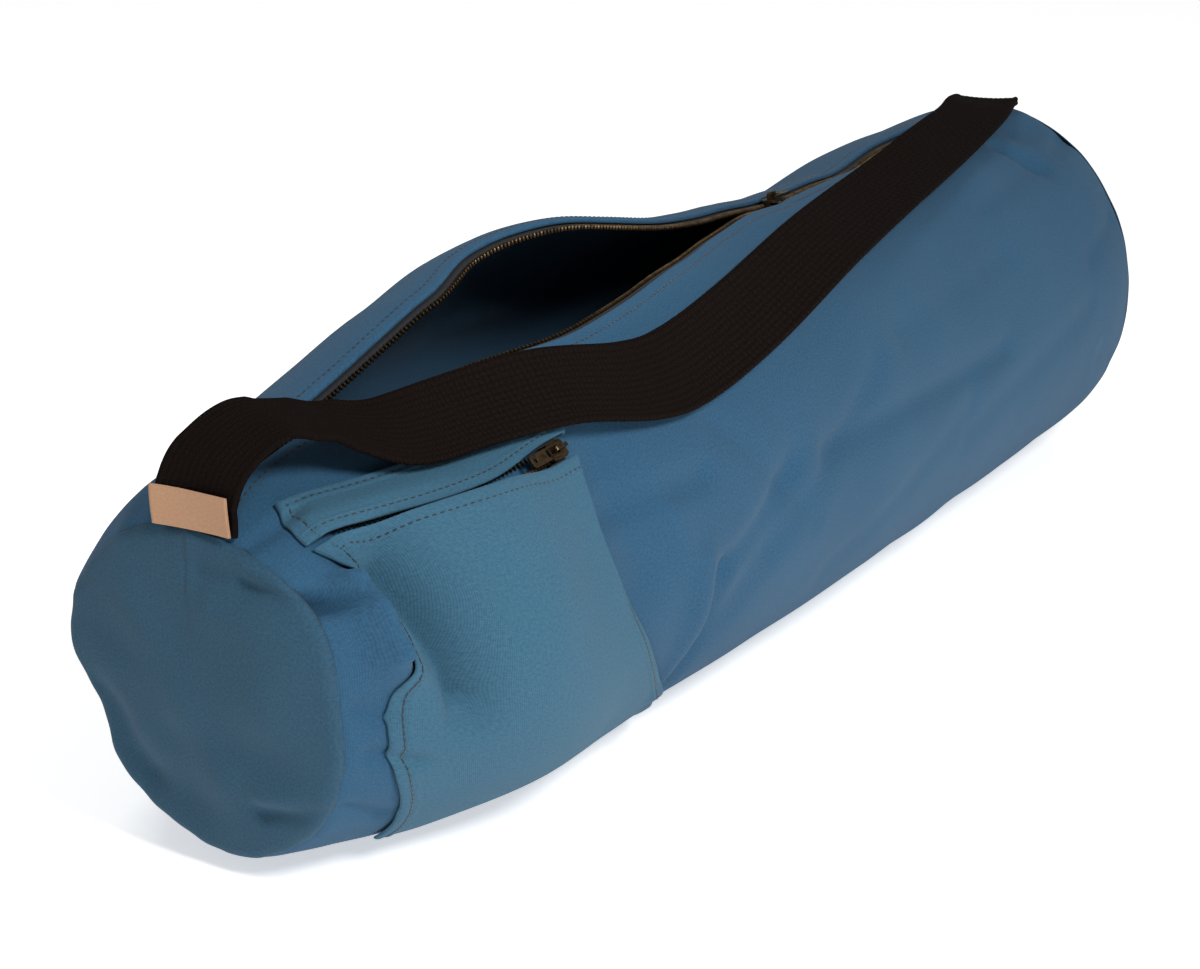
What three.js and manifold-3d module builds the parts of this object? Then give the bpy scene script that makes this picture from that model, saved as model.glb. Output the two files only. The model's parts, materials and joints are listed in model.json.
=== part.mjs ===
// A yoga mat bag: a canvas tube lying on its side, with a zip along its top that stands partly open,
// a zipped pocket on its front and a webbing strap from end to end. Millimetres, +Z up.
// +X runs along the bag to its far end, -Y is its front, and the floor is at z = 0.
import * as THREE from "three";
import { mergeVertices } from "three/addons/utils/BufferGeometryUtils.js";
import Module from "manifold-3d";

const wasm = await Module();
wasm.setup();

// Driving dimensions of the canvas tube
const bagLength = 660;
const bagWidth = 190;
const bagHeight = 192;
const pressedFlat = 3;
const clothThick = 1.6;
const seamGap = 0.3;
const layerGap = 0.9;
const nearDome = 6;
const farDome = 12;
const nearLean = { side: 0.064, up: -0.121 };
const farLean = { side: 0.13, up: 0.043 };
const leanReach = 0.25;

// Driving dimensions of the main zip
const mouthGape = 50;
const lipSetback = 4.5;
const tapeHidden = 9;
const tapeThick = 0.9;
const tapeEdgeSetback = 2.2;
const teethThick = 2.4;
const teethInner = 0.15;
const teethOuter = 1.9;
const lipFade = 36;

// Driving dimensions of both sliders and their pull tabs
const sliderAlong = 0.17;
const sliderLength = 9;
const sliderWidth = 7.4;
const sliderPlate = 1;
const sliderRunning = 0.3;
const rowSpread = 1.3;
const neckLength = 2;
const neckWidth = 1.8;
const bailLength = 6.8;
const bailWidth = 1.6;
const bailWindow = 2.4;
const bailBar = 1;
const pullLength = 17;
const pullWidth = 5;
const pullThick = 1.2;
const pullBar = 1.4;
const pullEye = 3;
const pullTipHole = 1;

// Driving dimensions of the pocket
const pocketCloth = 1.2;
const pocketBulge = 9;
const bulgeHeight = 0.8;
const pocketGape = 9;
const pocketRise = 4;
const pocketLipSetback = 4;
const pocketLipClosed = 1.5;
const pocketTapeWidth = 4.5;
const pocketTapeGap = 1.3;
const pocketEnd = 0.055;
const pocketSliderAcross = 0.88;
const sliderEase = 0.3;
const weltSlope = 0.75;
const bridging = 0.7;
const edgeCrowding = 0.45;

// Driving dimensions of the strap and the label
const strapWidth = 35;
const strapThick = 2.2;
const labelWidth = 33.5;
const labelHeight = 15;
const labelThick = 1;
const labelLean = 1.5;
const labelOverhang = 1;

// Cross-sections from the near seam to the far seam. along is a share of half the length, width a
// share of bagWidth, and height, shift (to the back) and lift (of the underside) follow suit.
const sections = [
  { along: -1.0, width: 0.668, height: 0.688, shift: 0.037, lift: 0.062 },
  { along: -0.93, width: 0.79, height: 0.78, shift: 0.032, lift: 0.036 },
  { along: -0.8, width: 0.895, height: 0.88, shift: 0.011, lift: 0.005 },
  { along: -0.62, width: 0.965, height: 0.965, shift: -0.005, lift: 0 },
  { along: -0.33, width: 1.0, height: 1.0, shift: -0.026, lift: 0 },
  { along: 0.0, width: 0.99, height: 0.975, shift: -0.03, lift: 0 },
  { along: 0.33, width: 0.94, height: 0.93, shift: -0.018, lift: 0 },
  { along: 0.66, width: 0.905, height: 0.91, shift: 0.0, lift: 0 },
  { along: 0.9, width: 0.888, height: 0.898, shift: 0.017, lift: 0 },
  { along: 1.0, width: 0.863, height: 0.885, shift: 0.026, lift: 0 },
];

// The uneven outline of the slack near seam: radius as a share, by angle from the top to the front
const nearOutline = [
  { angle: -180, radius: 1.04 },
  { angle: -160, radius: 1.0 },
  { angle: -135, radius: 1.0 },
  { angle: -106, radius: 0.9 },
  { angle: -84, radius: 1.03 },
  { angle: -50, radius: 0.99 },
  { angle: 0, radius: 0.96 },
  { angle: 32, radius: 0.98 },
  { angle: 58, radius: 1.04 },
  { angle: 85, radius: 0.96 },
  { angle: 120, radius: 0.99 },
  { angle: 150, radius: 1.01 },
  { angle: 180, radius: 1.04 },
];
const outlineReach = 0.07;

// Valleys (negative) and ridges of the cloth: both ends by share of half the length and by angle,
// height and breadth as shares of bagHeight
const folds = [
  { from: [-0.918, 48], to: [-0.885, 96], height: -0.06, breadth: 0.04 },
  { from: [-0.958, 53], to: [-0.955, 78], height: 0.036, breadth: 0.038 },
  { from: [-1.0, 50], to: [-0.97, 55], height: -0.03, breadth: 0.03 },
  { from: [-0.61, 60], to: [-0.58, 88], height: -0.03, breadth: 0.08 },
  { from: [-0.45, 129], to: [-0.25, 81], height: -0.015, breadth: 0.06 },
  { from: [-0.14, 80], to: [0.44, 80], height: -0.008, breadth: 0.07 },
  { from: [-0.08, -30], to: [0.4, -30], height: -0.05, breadth: 0.24 },
  { from: [-0.84, -42], to: [-0.36, -42], height: -0.03, breadth: 0.2 },
  { from: [0.88, 20], to: [0.94, 20], height: -0.02, breadth: 0.06 },
];

// The zip from end to end: centre is the angle of its line, front and back how far each lip has
// opened as a share of mouthGape, and rise how far the back lip stands up as a share of bagHeight
const mouth = [
  { along: -1.0, centre: 2, front: 0, back: 0, rise: 0 },
  { along: -0.86, centre: 2.5, front: 0.02, back: 0, rise: 0 },
  { along: -0.7, centre: 4, front: 0.4, back: 0, rise: 0.024 },
  { along: -0.6, centre: 5, front: 0.55, back: 0, rise: 0.048 },
  { along: -0.5, centre: 6, front: 0.62, back: 0.14, rise: 0.076 },
  { along: -0.38, centre: 7, front: 0.54, back: 0.1, rise: 0.08 },
  { along: -0.22, centre: 8, front: 0.34, back: 0.02, rise: 0.042 },
  { along: -0.08, centre: 8, front: 0.14, back: 0, rise: 0.014 },
  { along: 0.06, centre: 7, front: 0.02, back: 0, rise: 0 },
  { along: 0.2, centre: 5, front: 0, back: 0, rise: 0 },
  { along: 0.6, centre: -3, front: 0, back: 0, rise: 0 },
  { along: 1.0, centre: -6, front: 0, back: 0, rise: 0 },
];

// The pocket's left and right edges by angle, as shares of half the length
const pocketSides = [
  { angle: 18, left: -0.95, right: -0.66 },
  { angle: 36, left: -0.964, right: -0.642 },
  { angle: 52, left: -0.941, right: -0.64 },
  { angle: 72, left: -0.937, right: -0.655 },
  { angle: 90, left: -0.96, right: -0.62 },
  { angle: 110, left: -0.95, right: -0.55 },
  { angle: 130, left: -0.915, right: -0.46 },
  { angle: 152, left: -0.885, right: -0.37 },
];

// The pocket's lines from left to right: the top stitching, the zip and the hem under the bag
const pocketLines = [
  { across: 0, top: 21, zip: 37.5, hem: 150 },
  { across: 0.3, top: 30, zip: 45.5, hem: 151 },
  { across: 0.6, top: 35, zip: 49.5, hem: 151 },
  { across: 1, top: 40, zip: 51.5, hem: 149 },
];

// The strap's middle line: where it is along and round the bag, how far it lifts off as a share of
// bagHeight, how far its width leans from level, and how much it wraps round the bag
const strapRoute = [
  { along: -1.0, angle: 4, lift: 0.011, lean: 0, wrap: 0 },
  { along: -1.0, angle: 5, lift: 0.075, lean: 0, wrap: 0 },
  { along: -0.985, angle: 7, lift: 0.125, lean: 2, wrap: 0 },
  { along: -0.945, angle: 10, lift: 0.13, lean: 6, wrap: 0 },
  { along: -0.9, angle: 15, lift: 0.1, lean: 14, wrap: 0 },
  { along: -0.865, angle: 20, lift: 0.066, lean: 22, wrap: 0.2 },
  { along: -0.82, angle: 27, lift: 0.042, lean: 29, wrap: 0.6 },
  { along: -0.75, angle: 32.5, lift: 0.042, lean: 33, wrap: 1 },
  { along: -0.62, angle: 40.5, lift: 0.04, lean: 40, wrap: 1 },
  { along: -0.5, angle: 47, lift: 0.018, lean: 47, wrap: 1 },
  { along: -0.4, angle: 48, lift: 0.013, lean: 48, wrap: 1 },
  { along: -0.23, angle: 43.5, lift: 0.013, lean: 43, wrap: 1 },
  { along: 0.04, angle: 33, lift: 0.013, lean: 28, wrap: 1 },
  { along: 0.34, angle: 22.5, lift: 0.013, lean: 18, wrap: 1 },
  { along: 0.61, angle: 14, lift: 0.012, lean: 12, wrap: 1 },
  { along: 0.82, angle: 6.5, lift: 0.012, lean: 5, wrap: 1 },
  { along: 0.93, angle: 0, lift: 0.012, lean: 0, wrap: 1 },
  { along: 0.985, angle: -3.5, lift: 0.012, lean: -3.5, wrap: 1 },
];

// Soft hollows and swells of the near disc: both ends by shares of its half width (to the front)
// and half height, height as a share of bagHeight, breadth as a share of the same
const discFolds = [
  { from: [0.75, 0.66], to: [0.1, 0.76], height: -0.018, breadth: 0.035 },
  { from: [0.62, 0.3], to: [0.55, 0.1], height: 0.022, breadth: 0.11 },
  { from: [-0.75, -0.62], to: [-0.2, -0.72], height: -0.02, breadth: 0.08 },
];

// Steps of the meshes
const nearSteps = 10;
const farSteps = 24;
const nearShare = 0.16;
const aroundSteps = 34;
const discRings = 4;
const discSteps = 26;
const strapSteps = 58;
const strapStrips = 4;
const pocketColumns = 16;
const zipFirstColumn = 2;
const pocketRows = 14;
const weltRows = 5;
const labelSteps = 6;

const radians = THREE.MathUtils.degToRad;
const degrees = THREE.MathUtils.radToDeg;
const halfLength = bagLength / 2;
const meanRadius = (bagWidth + bagHeight) / 4;

// Reads a column of a table at a place between its rows, on a smooth cubic through them
function read(rows, key, column, at) {
  const last = rows.length - 1;
  let i = 0;
  while (i < last - 1 && at > rows[i + 1][key]) i += 1;
  const slope = (k) => {
    const low = rows[Math.max(k - 1, 0)];
    const high = rows[Math.min(k + 1, last)];
    return (high[column] - low[column]) / (high[key] - low[key]);
  };
  const span = rows[i + 1][key] - rows[i][key];
  const t = THREE.MathUtils.clamp((at - rows[i][key]) / span, 0, 1);
  const rest = 1 - t;
  return (
    rest * rest * (1 + 2 * t) * rows[i][column] +
    t * t * (3 - 2 * t) * rows[i + 1][column] +
    t * rest * rest * span * slope(i) -
    t * t * rest * span * slope(i + 1)
  );
}

const section = (along, column) => read(sections, "along", column, THREE.MathUtils.clamp(along, -1, 1));

// The height of a fold at a point of a flat sheet, fading as a bell curve away from its line
function foldHeight(fold, start, end, point) {
  const line = end.clone().sub(start);
  const t = THREE.MathUtils.clamp(point.clone().sub(start).dot(line) / line.lengthSq(), 0, 1);
  const away = point.distanceTo(start.clone().addScaledVector(line, t));
  return fold.height * bagHeight * Math.exp(-((away / (fold.breadth * bagHeight)) ** 2));
}

const unrolled = (along, angle) => new THREE.Vector2(along * halfLength, radians(angle) * meanRadius);

// All the tube's folds at a place, by share of half the length and by angle
function clothFolds(along, angle) {
  const place = unrolled(along, ((angle + 540) % 360) - 180);
  return folds.reduce((sum, fold) => {
    return sum + foldHeight(fold, unrolled(...fold.from), unrolled(...fold.to), place);
  }, 0);
}

// The middle of a cross-section and its half width and half height
function ring(along) {
  const height = (section(along, "height") * bagHeight) / 2;
  return {
    width: (section(along, "width") * bagWidth) / 2,
    height,
    shift: section(along, "shift") * bagWidth,
    middle: height - pressedFlat + section(along, "lift") * bagHeight,
  };
}

// A point out from the tube's cloth, before its folds: out is the distance outwards
function ellipsePoint(along, angle, out) {
  const { width, height, shift, middle } = ring(along);
  const turn = ((angle + 540) % 360) - 180;
  const nearFade = THREE.MathUtils.clamp((-along - 1 + outlineReach) / outlineReach, 0, 1);
  const uneven = 1 + nearFade * (read(nearOutline, "angle", "radius", turn) - 1);
  const y = -(width * uneven + out) * Math.sin(radians(angle));
  const z = (height * uneven + out) * Math.cos(radians(angle));
  const nearTilt = THREE.MathUtils.clamp((-along - 1 + leanReach) / leanReach, 0, 1);
  const farTilt = THREE.MathUtils.clamp((along - 1 + leanReach) / leanReach, 0, 1);
  const x =
    along * halfLength +
    nearTilt * (nearLean.side * y + nearLean.up * z) +
    farTilt * (farLean.side * y + farLean.up * z);
  return new THREE.Vector3(x, shift + y, Math.max(middle + z, -Math.min(out, 0)));
}

const tubePoint = (along, angle, out) => ellipsePoint(along, angle, out + clothFolds(along, angle));

const toAngle = (arc, along) => degrees(arc / ring(along).height);

// How far the slider has driven the two rows of teeth apart, beside it and behind it
function sliderSpread(along) {
  const toNose = (sliderAlong - along) * halfLength + sliderLength / 2;
  return rowSpread * THREE.MathUtils.clamp(toNose / sliderLength, 0, 1);
}

// The angle of a lip of the mouth: side is 1 for the front and -1 for the back
function lipAngle(side, along) {
  const open = read(mouth, "along", side > 0 ? "front" : "back", along) * mouthGape;
  const arc = lipSetback + Math.max(open, 0) + sliderSpread(along);
  return read(mouth, "along", "centre", along) + side * toAngle(arc, along);
}

// How far the cloth stands up near the back lip, by its distance in degrees from that lip
function lipRise(along, away) {
  const t = THREE.MathUtils.clamp(away / lipFade, 0, 1);
  return Math.max(read(mouth, "along", "rise", along), 0) * bagHeight * (1 - t) ** 2 * (1 + 2 * t);
}

// A point of the zip: reach is the distance beyond the lip into the mouth
function lipPoint(side, along, reach, out) {
  const angle = lipAngle(side, along) - side * toAngle(reach, along);
  const rise = side < 0 ? lipRise(along, toAngle(-reach, along)) : 0;
  return tubePoint(along, angle, out + rise);
}

// A closed body from a grid of points on its front and another on its back, with a rim between
function slab(front, back, columns, rows, wraps = false) {
  const corners = [];
  const quad = (a, b, c, d) => corners.push(a, b, c, a, c, d);
  const grid = (surface) => {
    return Array.from({ length: columns + 1 }, (_, i) => {
      return Array.from({ length: rows + 1 }, (_, j) => surface(i / columns, j / rows, i, j));
    });
  };
  const outer = grid(front);
  const inner = grid(back);
  for (let i = 0; i < columns; i += 1) {
    for (let j = 0; j < rows; j += 1) {
      quad(outer[i][j], outer[i + 1][j], outer[i + 1][j + 1], outer[i][j + 1]);
      quad(inner[i][j], inner[i][j + 1], inner[i + 1][j + 1], inner[i + 1][j]);
    }
  }
  for (let i = 0; i < columns && !wraps; i += 1) {
    quad(outer[i][0], inner[i][0], inner[i + 1][0], outer[i + 1][0]);
    quad(outer[i][rows], outer[i + 1][rows], inner[i + 1][rows], inner[i][rows]);
  }
  for (let j = 0; j < rows; j += 1) {
    quad(outer[0][j], outer[0][j + 1], inner[0][j + 1], inner[0][j]);
    quad(outer[columns][j], inner[columns][j], inner[columns][j + 1], outer[columns][j + 1]);
  }
  return closedBody(corners);
}

// Joins the corners that meet, drops triangles that have closed up and turns the faces outwards
function closedBody(corners) {
  const loose = new THREE.BufferGeometry().setFromPoints(corners);
  const merged = mergeVertices(loose, 1e-3);
  const index = merged.index.array;
  const at = (k) => new THREE.Vector3().fromBufferAttribute(merged.attributes.position, k);
  const kept = [];
  let volume = 0;
  for (let t = 0; t < index.length; t += 3) {
    const [a, b, c] = index.slice(t, t + 3);
    if (a === b || b === c || c === a) continue;
    kept.push(a, b, c);
    volume += at(a).dot(at(b).cross(at(c)));
  }
  if (volume < 0) kept.reverse();
  merged.setIndex(kept);
  merged.computeVertexNormals();
  return merged;
}

function material(color, roughness, metalness = 0) {
  return new THREE.MeshStandardMaterial({ color, roughness, metalness });
}

const canvas = material(0x3c6584, 0.9);
const pocketCanvas = material(0x46718b, 0.9);
const webbing = material(0x17120f, 0.95);
const zipTape = material(0x15171a, 0.9);
const zipMetal = material(0x5a4a38, 0.45, 0.9);
const labelCloth = material(0xc8a07a, 0.85);

function named(name, geometry, finish) {
  const mesh = new THREE.Mesh(geometry, finish);
  mesh.name = name;
  return mesh;
}

// The stations along the tube: close together in the folds near the near end and beside the slider
function stations() {
  const list = [];
  const nearEnd = -1 + nearShare;
  for (let i = 0; i <= nearSteps; i += 1) list.push(-1 + (nearShare * i) / nearSteps);
  for (let i = 1; i <= farSteps; i += 1) list.push(nearEnd + ((1 - nearEnd) * i) / farSteps);
  const slot = sliderLength / 2 / halfLength;
  const step = (1 - nearEnd) / farSteps / 2;
  const clear = list.filter((along) => Math.abs(Math.abs(along - sliderAlong) - slot) > step);
  return [...clear, sliderAlong - slot, sliderAlong + slot].sort((a, b) => a - b);
}
const places = stations();
const lastPlace = places.length - 1;

// The tube's wall, from the front lip under the bag to the back lip, with a hem beside each lip
function tubePanel() {
  const wall = (out) => (u, v, i, j) => {
    const along = places[i];
    const hem = toAngle(tapeHidden, along);
    const front = lipAngle(1, along);
    const back = lipAngle(-1, along) + 360;
    const inside = front + hem + ((back - front - 2 * hem) * (j - 1)) / (aroundSteps - 2);
    const edge = j < aroundSteps ? front : back;
    const angle = j % aroundSteps ? inside : edge;
    return tubePoint(along, angle, out + lipRise(along, back - angle));
  };
  return named("tube_panel", slab(wall(0), wall(-clothThick), lastPlace, aroundSteps), canvas);
}

// The height of the near disc's folds at a point given by shares of its half width and half height
function discFoldHeight(front, up) {
  const { width, height } = ring(-1);
  const spot = ([a, b]) => new THREE.Vector2(a * width, b * height);
  return discFolds.reduce((sum, fold) => {
    return sum + foldHeight(fold, spot(fold.from), spot(fold.to), spot([front, up]));
  }, 0);
}

// A round end panel: share runs from its middle to its edge, and it domes away from the tube
function endDisc(name, end, dome) {
  const { shift, middle } = ring(end);
  const centre = new THREE.Vector3(end * halfLength, shift, middle);
  const face = (thick) => (share, turn) => {
    const angle = turn * 360;
    const point = centre.clone().lerp(ellipsePoint(end, angle, 0), share);
    const front = share * Math.sin(radians(angle));
    const up = share * Math.cos(radians(angle));
    const folded = end < 0 ? discFoldHeight(front, up) * (1 - share ** 4) : 0;
    point.x += end * (seamGap + dome * (1 - share ** 2) + folded + thick);
    return point;
  };
  return named(name, slab(face(clothThick), face(0), discRings, discSteps, true), canvas);
}

const zipDepth = clothThick + layerGap + tapeThick / 2;

// One tape of the zip, sewn under its lip
function zipTapeSide(name, side) {
  const face = (sign) => (_, v, i) => {
    const reach = -tapeHidden + v * (tapeHidden + lipSetback - tapeEdgeSetback);
    return lipPoint(side, places[i], reach, -zipDepth + (sign * tapeThick) / 2);
  };
  return named(name, slab(face(1), face(-1), lastPlace, 2), zipTape);
}

// One row of teeth, as a ridge on the edge of its tape
function zipTeethSide(name, side) {
  const face = (sign) => (_, v, i) => {
    const reach = lipSetback - teethOuter + v * (teethOuter - teethInner);
    return lipPoint(side, places[i], reach, -zipDepth + (sign * teethThick) / 2);
  };
  return named(name, slab(face(1), face(-1), lastPlace, 1), zipMetal);
}

// A solid for cutting and joining, from a closed geometry
function solid(geometry) {
  const bare = geometry.index ? geometry.toNonIndexed() : geometry.clone();
  bare.deleteAttribute("normal");
  bare.deleteAttribute("uv");
  const merged = mergeVertices(bare, 1e-4);
  const vertProperties = new Float32Array(merged.attributes.position.array);
  const triVerts = new Uint32Array(merged.index.array);
  return new wasm.Manifold(new wasm.Mesh({ numProp: 3, vertProperties, triVerts }));
}

function geometryOf(body) {
  const { vertProperties, triVerts } = body.getMesh();
  const geometry = new THREE.BufferGeometry();
  geometry.setAttribute("position", new THREE.BufferAttribute(new Float32Array(vertProperties), 3));
  geometry.setIndex(new THREE.BufferAttribute(new Uint32Array(triVerts), 1));
  geometry.computeVertexNormals();
  return geometry;
}

// A rectangle with round corners about a middle
function roundedOutline(x, y, length, width, radius, Outline = THREE.Shape) {
  const outline = new Outline();
  const [left, right] = [x - length / 2, x + length / 2];
  const [low, high] = [y - width / 2, y + width / 2];
  outline.moveTo(left + radius, low);
  outline.lineTo(right - radius, low);
  outline.absarc(right - radius, low + radius, radius, -Math.PI / 2, 0);
  outline.absarc(right - radius, high - radius, radius, 0, Math.PI / 2);
  outline.absarc(left + radius, high - radius, radius, Math.PI / 2, Math.PI);
  outline.absarc(left + radius, low + radius, radius, Math.PI, 1.5 * Math.PI);
  outline.closePath();
  return outline;
}

function extruded(outline, depth) {
  return new THREE.ExtrudeGeometry(outline, { depth, bevelEnabled: false, curveSegments: 3 });
}

// A slider about the middle of its zip, its nose towards -X: two plates, a neck and a bail
function sliderGeometry() {
  const channel = teethThick / 2 + sliderRunning;
  const corner = sliderWidth / 4;
  const top = extruded(roundedOutline(0, 0, sliderLength, sliderWidth, corner), sliderPlate);
  const bottom = top.clone().translate(0, 0, -channel - sliderPlate);
  top.translate(0, 0, channel);
  const nose = -sliderLength / 2 + neckLength / 2;
  const neck = new THREE.BoxGeometry(neckLength, neckWidth, 2 * channel + sliderPlate);
  neck.translate(nose, 0, 0);
  const bailHeight = bailWindow + 2 * bailBar;
  const bail = roundedOutline(0, 0, bailLength, bailHeight, bailBar);
  bail.holes.push(
    roundedOutline(0, 0, bailLength - 2 * bailBar, bailWindow, bailBar / 2, THREE.Path),
  );
  const arch = extruded(bail, bailWidth).translate(0, 0, -bailWidth / 2).rotateX(Math.PI / 2);
  arch.translate(0, 0, hingeHeight());
  return geometryOf(solid(top).add(solid(bottom)).add(solid(neck)).add(solid(arch)));
}

// The height of the pull's axis over the middle of the zip: the bail's foot sinks into the plate
function hingeHeight() {
  return teethThick / 2 + sliderRunning + sliderPlate + bailWindow / 2;
}

// A pull tab about its hinge bar, which lies along Y, with the tab towards +X
function pullGeometry() {
  const start = -pullBar / 2;
  const outline = roundedOutline(start + pullLength / 2, 0, pullLength, pullWidth, pullBar / 2);
  const eye = (pullBar + bailLength) / 2;
  outline.holes.push(roundedOutline(eye, 0, bailLength, pullEye, pullBar / 2, THREE.Path));
  const tip = new THREE.Path();
  tip.absarc(start + pullLength - 2 * pullTipHole, 0, pullTipHole, 0, 2 * Math.PI);
  outline.holes.push(tip);
  return extruded(outline, pullThick).translate(0, 0, -pullThick / 2);
}

// Places a piece at a point of a zip: x along it to its closed end, z out of the cloth
function placeOnZip(mesh, point, ahead, across, height = 0) {
  const x = ahead.clone().sub(point).normalize();
  const z = new THREE.Vector3().crossVectors(x, across.clone().sub(point)).normalize();
  const y = new THREE.Vector3().crossVectors(z, x);
  mesh.quaternion.setFromRotationMatrix(new THREE.Matrix4().makeBasis(x, y, z));
  mesh.position.copy(point).addScaledVector(z, height);
  return mesh;
}

// The zip's middle line in the plane of its tapes
function zipMiddle(along, arc = 0) {
  const angle = read(mouth, "along", "centre", along) - toAngle(arc, along);
  return tubePoint(along, angle, -zipDepth);
}

function mainSlider() {
  const step = sliderLength / 2 / halfLength;
  const point = zipMiddle(sliderAlong);
  const ahead = zipMiddle(sliderAlong + step);
  const across = zipMiddle(sliderAlong, sliderLength);
  const slider = named("zip_slider", sliderGeometry(), zipMetal);
  const pull = named("zip_pull", pullGeometry(), zipMetal);
  placeOnZip(slider, point, ahead, across);
  placeOnZip(pull, point, ahead, across, hingeHeight());
  return [slider, pull];
}

// Where the pocket is: across from left to right, and an angle round the bag
function pocketAlong(across, angle) {
  const left = read(pocketSides, "angle", "left", angle);
  const right = read(pocketSides, "angle", "right", angle);
  return left + (right - left) * across;
}

// Cloth laid over the tube follows its ridges and bridges the deeper part of its valleys
function overTube(along, angle, out) {
  const folded = clothFolds(along, angle);
  return ellipsePoint(along, angle, out + Math.max(folded, folded * bridging));
}

const easeIn = (t) => {
  const held = THREE.MathUtils.clamp(t, 0, 1);
  return held * held * (3 - 2 * held);
};
const pocketEase = (across) => easeIn(Math.min(across, 1 - across) / pocketEnd);
const pocketLine = (across, column) => read(pocketLines, "across", column, across);
const pocketCorner = (across) => {
  const angle = pocketLine(across, "zip");
  return unrolled(pocketAlong(across, angle), angle);
};
const pocketWidth = pocketCorner(0).distanceTo(pocketCorner(1));
const pocketSlot = sliderLength / 2 / pocketWidth;

// How far the pocket's mouth stands open beside its zip, from left to right
function pocketOpen(across) {
  const t = THREE.MathUtils.clamp(1 - across / pocketSliderAcross, 0, 1);
  return pocketGape * Math.sin(Math.PI * t) ** 2;
}

// How far both lips of the pocket stay from its zip's middle: they part beside the slider
function pocketSetback(across) {
  const parted = easeIn(1 + (across - pocketSliderAcross + pocketSlot) / sliderEase);
  return pocketLipClosed + (pocketLipSetback - pocketLipClosed) * parted;
}

// Where a column of the pocket's cloth stands: the columns crowd together towards the left edge
const pocketColumn = (t) => t * (1 - edgeCrowding * (1 - t));

// The band above the pocket's zip
function pocketWelt() {
  const face = (thick) => (column, down) => {
    const across = pocketColumn(column);
    const top = pocketLine(across, "top");
    const low = pocketLine(across, "zip") - toAngle(pocketSetback(across), sections[2].along);
    const angle = top + (low - top) * down;
    const out = layerGap + pocketRise * easeIn(down / weltSlope) * pocketEase(across) + thick;
    return overTube(pocketAlong(across, angle), angle, out);
  };
  const shape = slab(face(pocketCloth), face(0), pocketColumns, weltRows);
  return named("pocket_welt", shape, pocketCanvas);
}

// The panel below the pocket's zip, with its mouth open and its middle full
function pocketPanel() {
  const face = (thick) => (column, down) => {
    const across = pocketColumn(column);
    const lip = pocketLine(across, "zip") + toAngle(pocketSetback(across), sections[2].along);
    const angle = lip + (pocketLine(across, "hem") - lip) * down;
    const raised = (pocketRise + pocketOpen(across)) * easeIn(1 - down) * pocketEase(across);
    const full = pocketBulge * Math.sin(Math.PI * across) * Math.sin(Math.PI * down ** bulgeHeight);
    return overTube(pocketAlong(across, angle), angle, layerGap + raised + full + thick);
  };
  const shape = slab(face(pocketCloth), face(0), pocketColumns, pocketRows);
  return named("pocket_panel", shape, pocketCanvas);
}

// A point of the pocket's zip: side is -1 above its middle line and 1 below it
function pocketZipPoint(side, across, arc, out) {
  const toNose = (pocketSliderAcross - across) * pocketWidth + sliderLength / 2;
  const spread = rowSpread * THREE.MathUtils.clamp(toNose / sliderLength, 0, 1);
  const line = pocketLine(across, "zip");
  const angle = line + side * toAngle(arc + Math.abs(side) * spread, sections[2].along);
  const lifted = side > 0 ? pocketOpen(across) : 0;
  const plane = layerGap + pocketRise - pocketTapeGap - tapeThick / 2;
  return overTube(pocketAlong(across, angle), angle, plane + lifted + out);
}

// The stations of the pocket's zip: the pocket's own columns, then both ends of its slider
const pocketPlaces = Array.from({ length: pocketColumns }, (_, i) => pocketColumn(i / pocketColumns))
  .slice(zipFirstColumn)
  .filter((across) => across < pocketSliderAcross - 2 * pocketSlot)
  .concat([pocketSliderAcross - pocketSlot, pocketSliderAcross + pocketSlot]);

function pocketZipStrip(name, side, inner, outer, thick, finish) {
  const face = (sign) => (_, v, i) => {
    return pocketZipPoint(side, pocketPlaces[i], inner + v * (outer - inner), (sign * thick) / 2);
  };
  return named(name, slab(face(1), face(-1), pocketPlaces.length - 1, 1), finish);
}

function pocketZip() {
  const tapeOuter = tapeEdgeSetback + pocketTapeWidth;
  const strips = [
    ["upper", -1],
    ["lower", 1],
  ].flatMap(([word, side]) => [
    pocketZipStrip("pocket_tape_" + word, side, tapeEdgeSetback, tapeOuter, tapeThick, zipTape),
    pocketZipStrip("pocket_teeth_" + word, side, teethInner, teethOuter, teethThick, zipMetal),
  ]);
  const point = pocketZipPoint(0, pocketSliderAcross, 0, 0);
  const ahead = pocketZipPoint(0, pocketSliderAcross + pocketSlot, 0, 0);
  const above = pocketZipPoint(-1, pocketSliderAcross, sliderLength, 0);
  const slider = named("pocket_slider", sliderGeometry(), zipMetal);
  const pull = named("pocket_pull", pullGeometry(), zipMetal);
  placeOnZip(slider, point, ahead, above);
  placeOnZip(pull, point, ahead, above, hingeHeight()).rotateZ(Math.PI);
  return [...strips, slider, pull];
}

// A point of the strap: v is -1 at its back edge and 1 at its front edge
function strapPoint(u, v, out) {
  const at = strapLine(u);
  const step = 1 / strapSteps / 4;
  const before = strapLine(Math.max(u - step, 0)).point;
  const tangent = strapLine(Math.min(u + step, 1)).point.sub(before).normalize();
  const lean = radians(at.lean);
  const width = new THREE.Vector3(0, -Math.cos(lean), -Math.sin(lean));
  width.addScaledVector(tangent, -width.dot(tangent)).normalize();
  const normal = new THREE.Vector3().crossVectors(width, tangent).normalize().negate();
  const curl = (at.wrap * (strapWidth / 2) ** 2) / bagHeight;
  return at.point
    .clone()
    .addScaledVector(width, (v * strapWidth) / 2)
    .addScaledVector(normal, out - curl * v * v);
}

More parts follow.
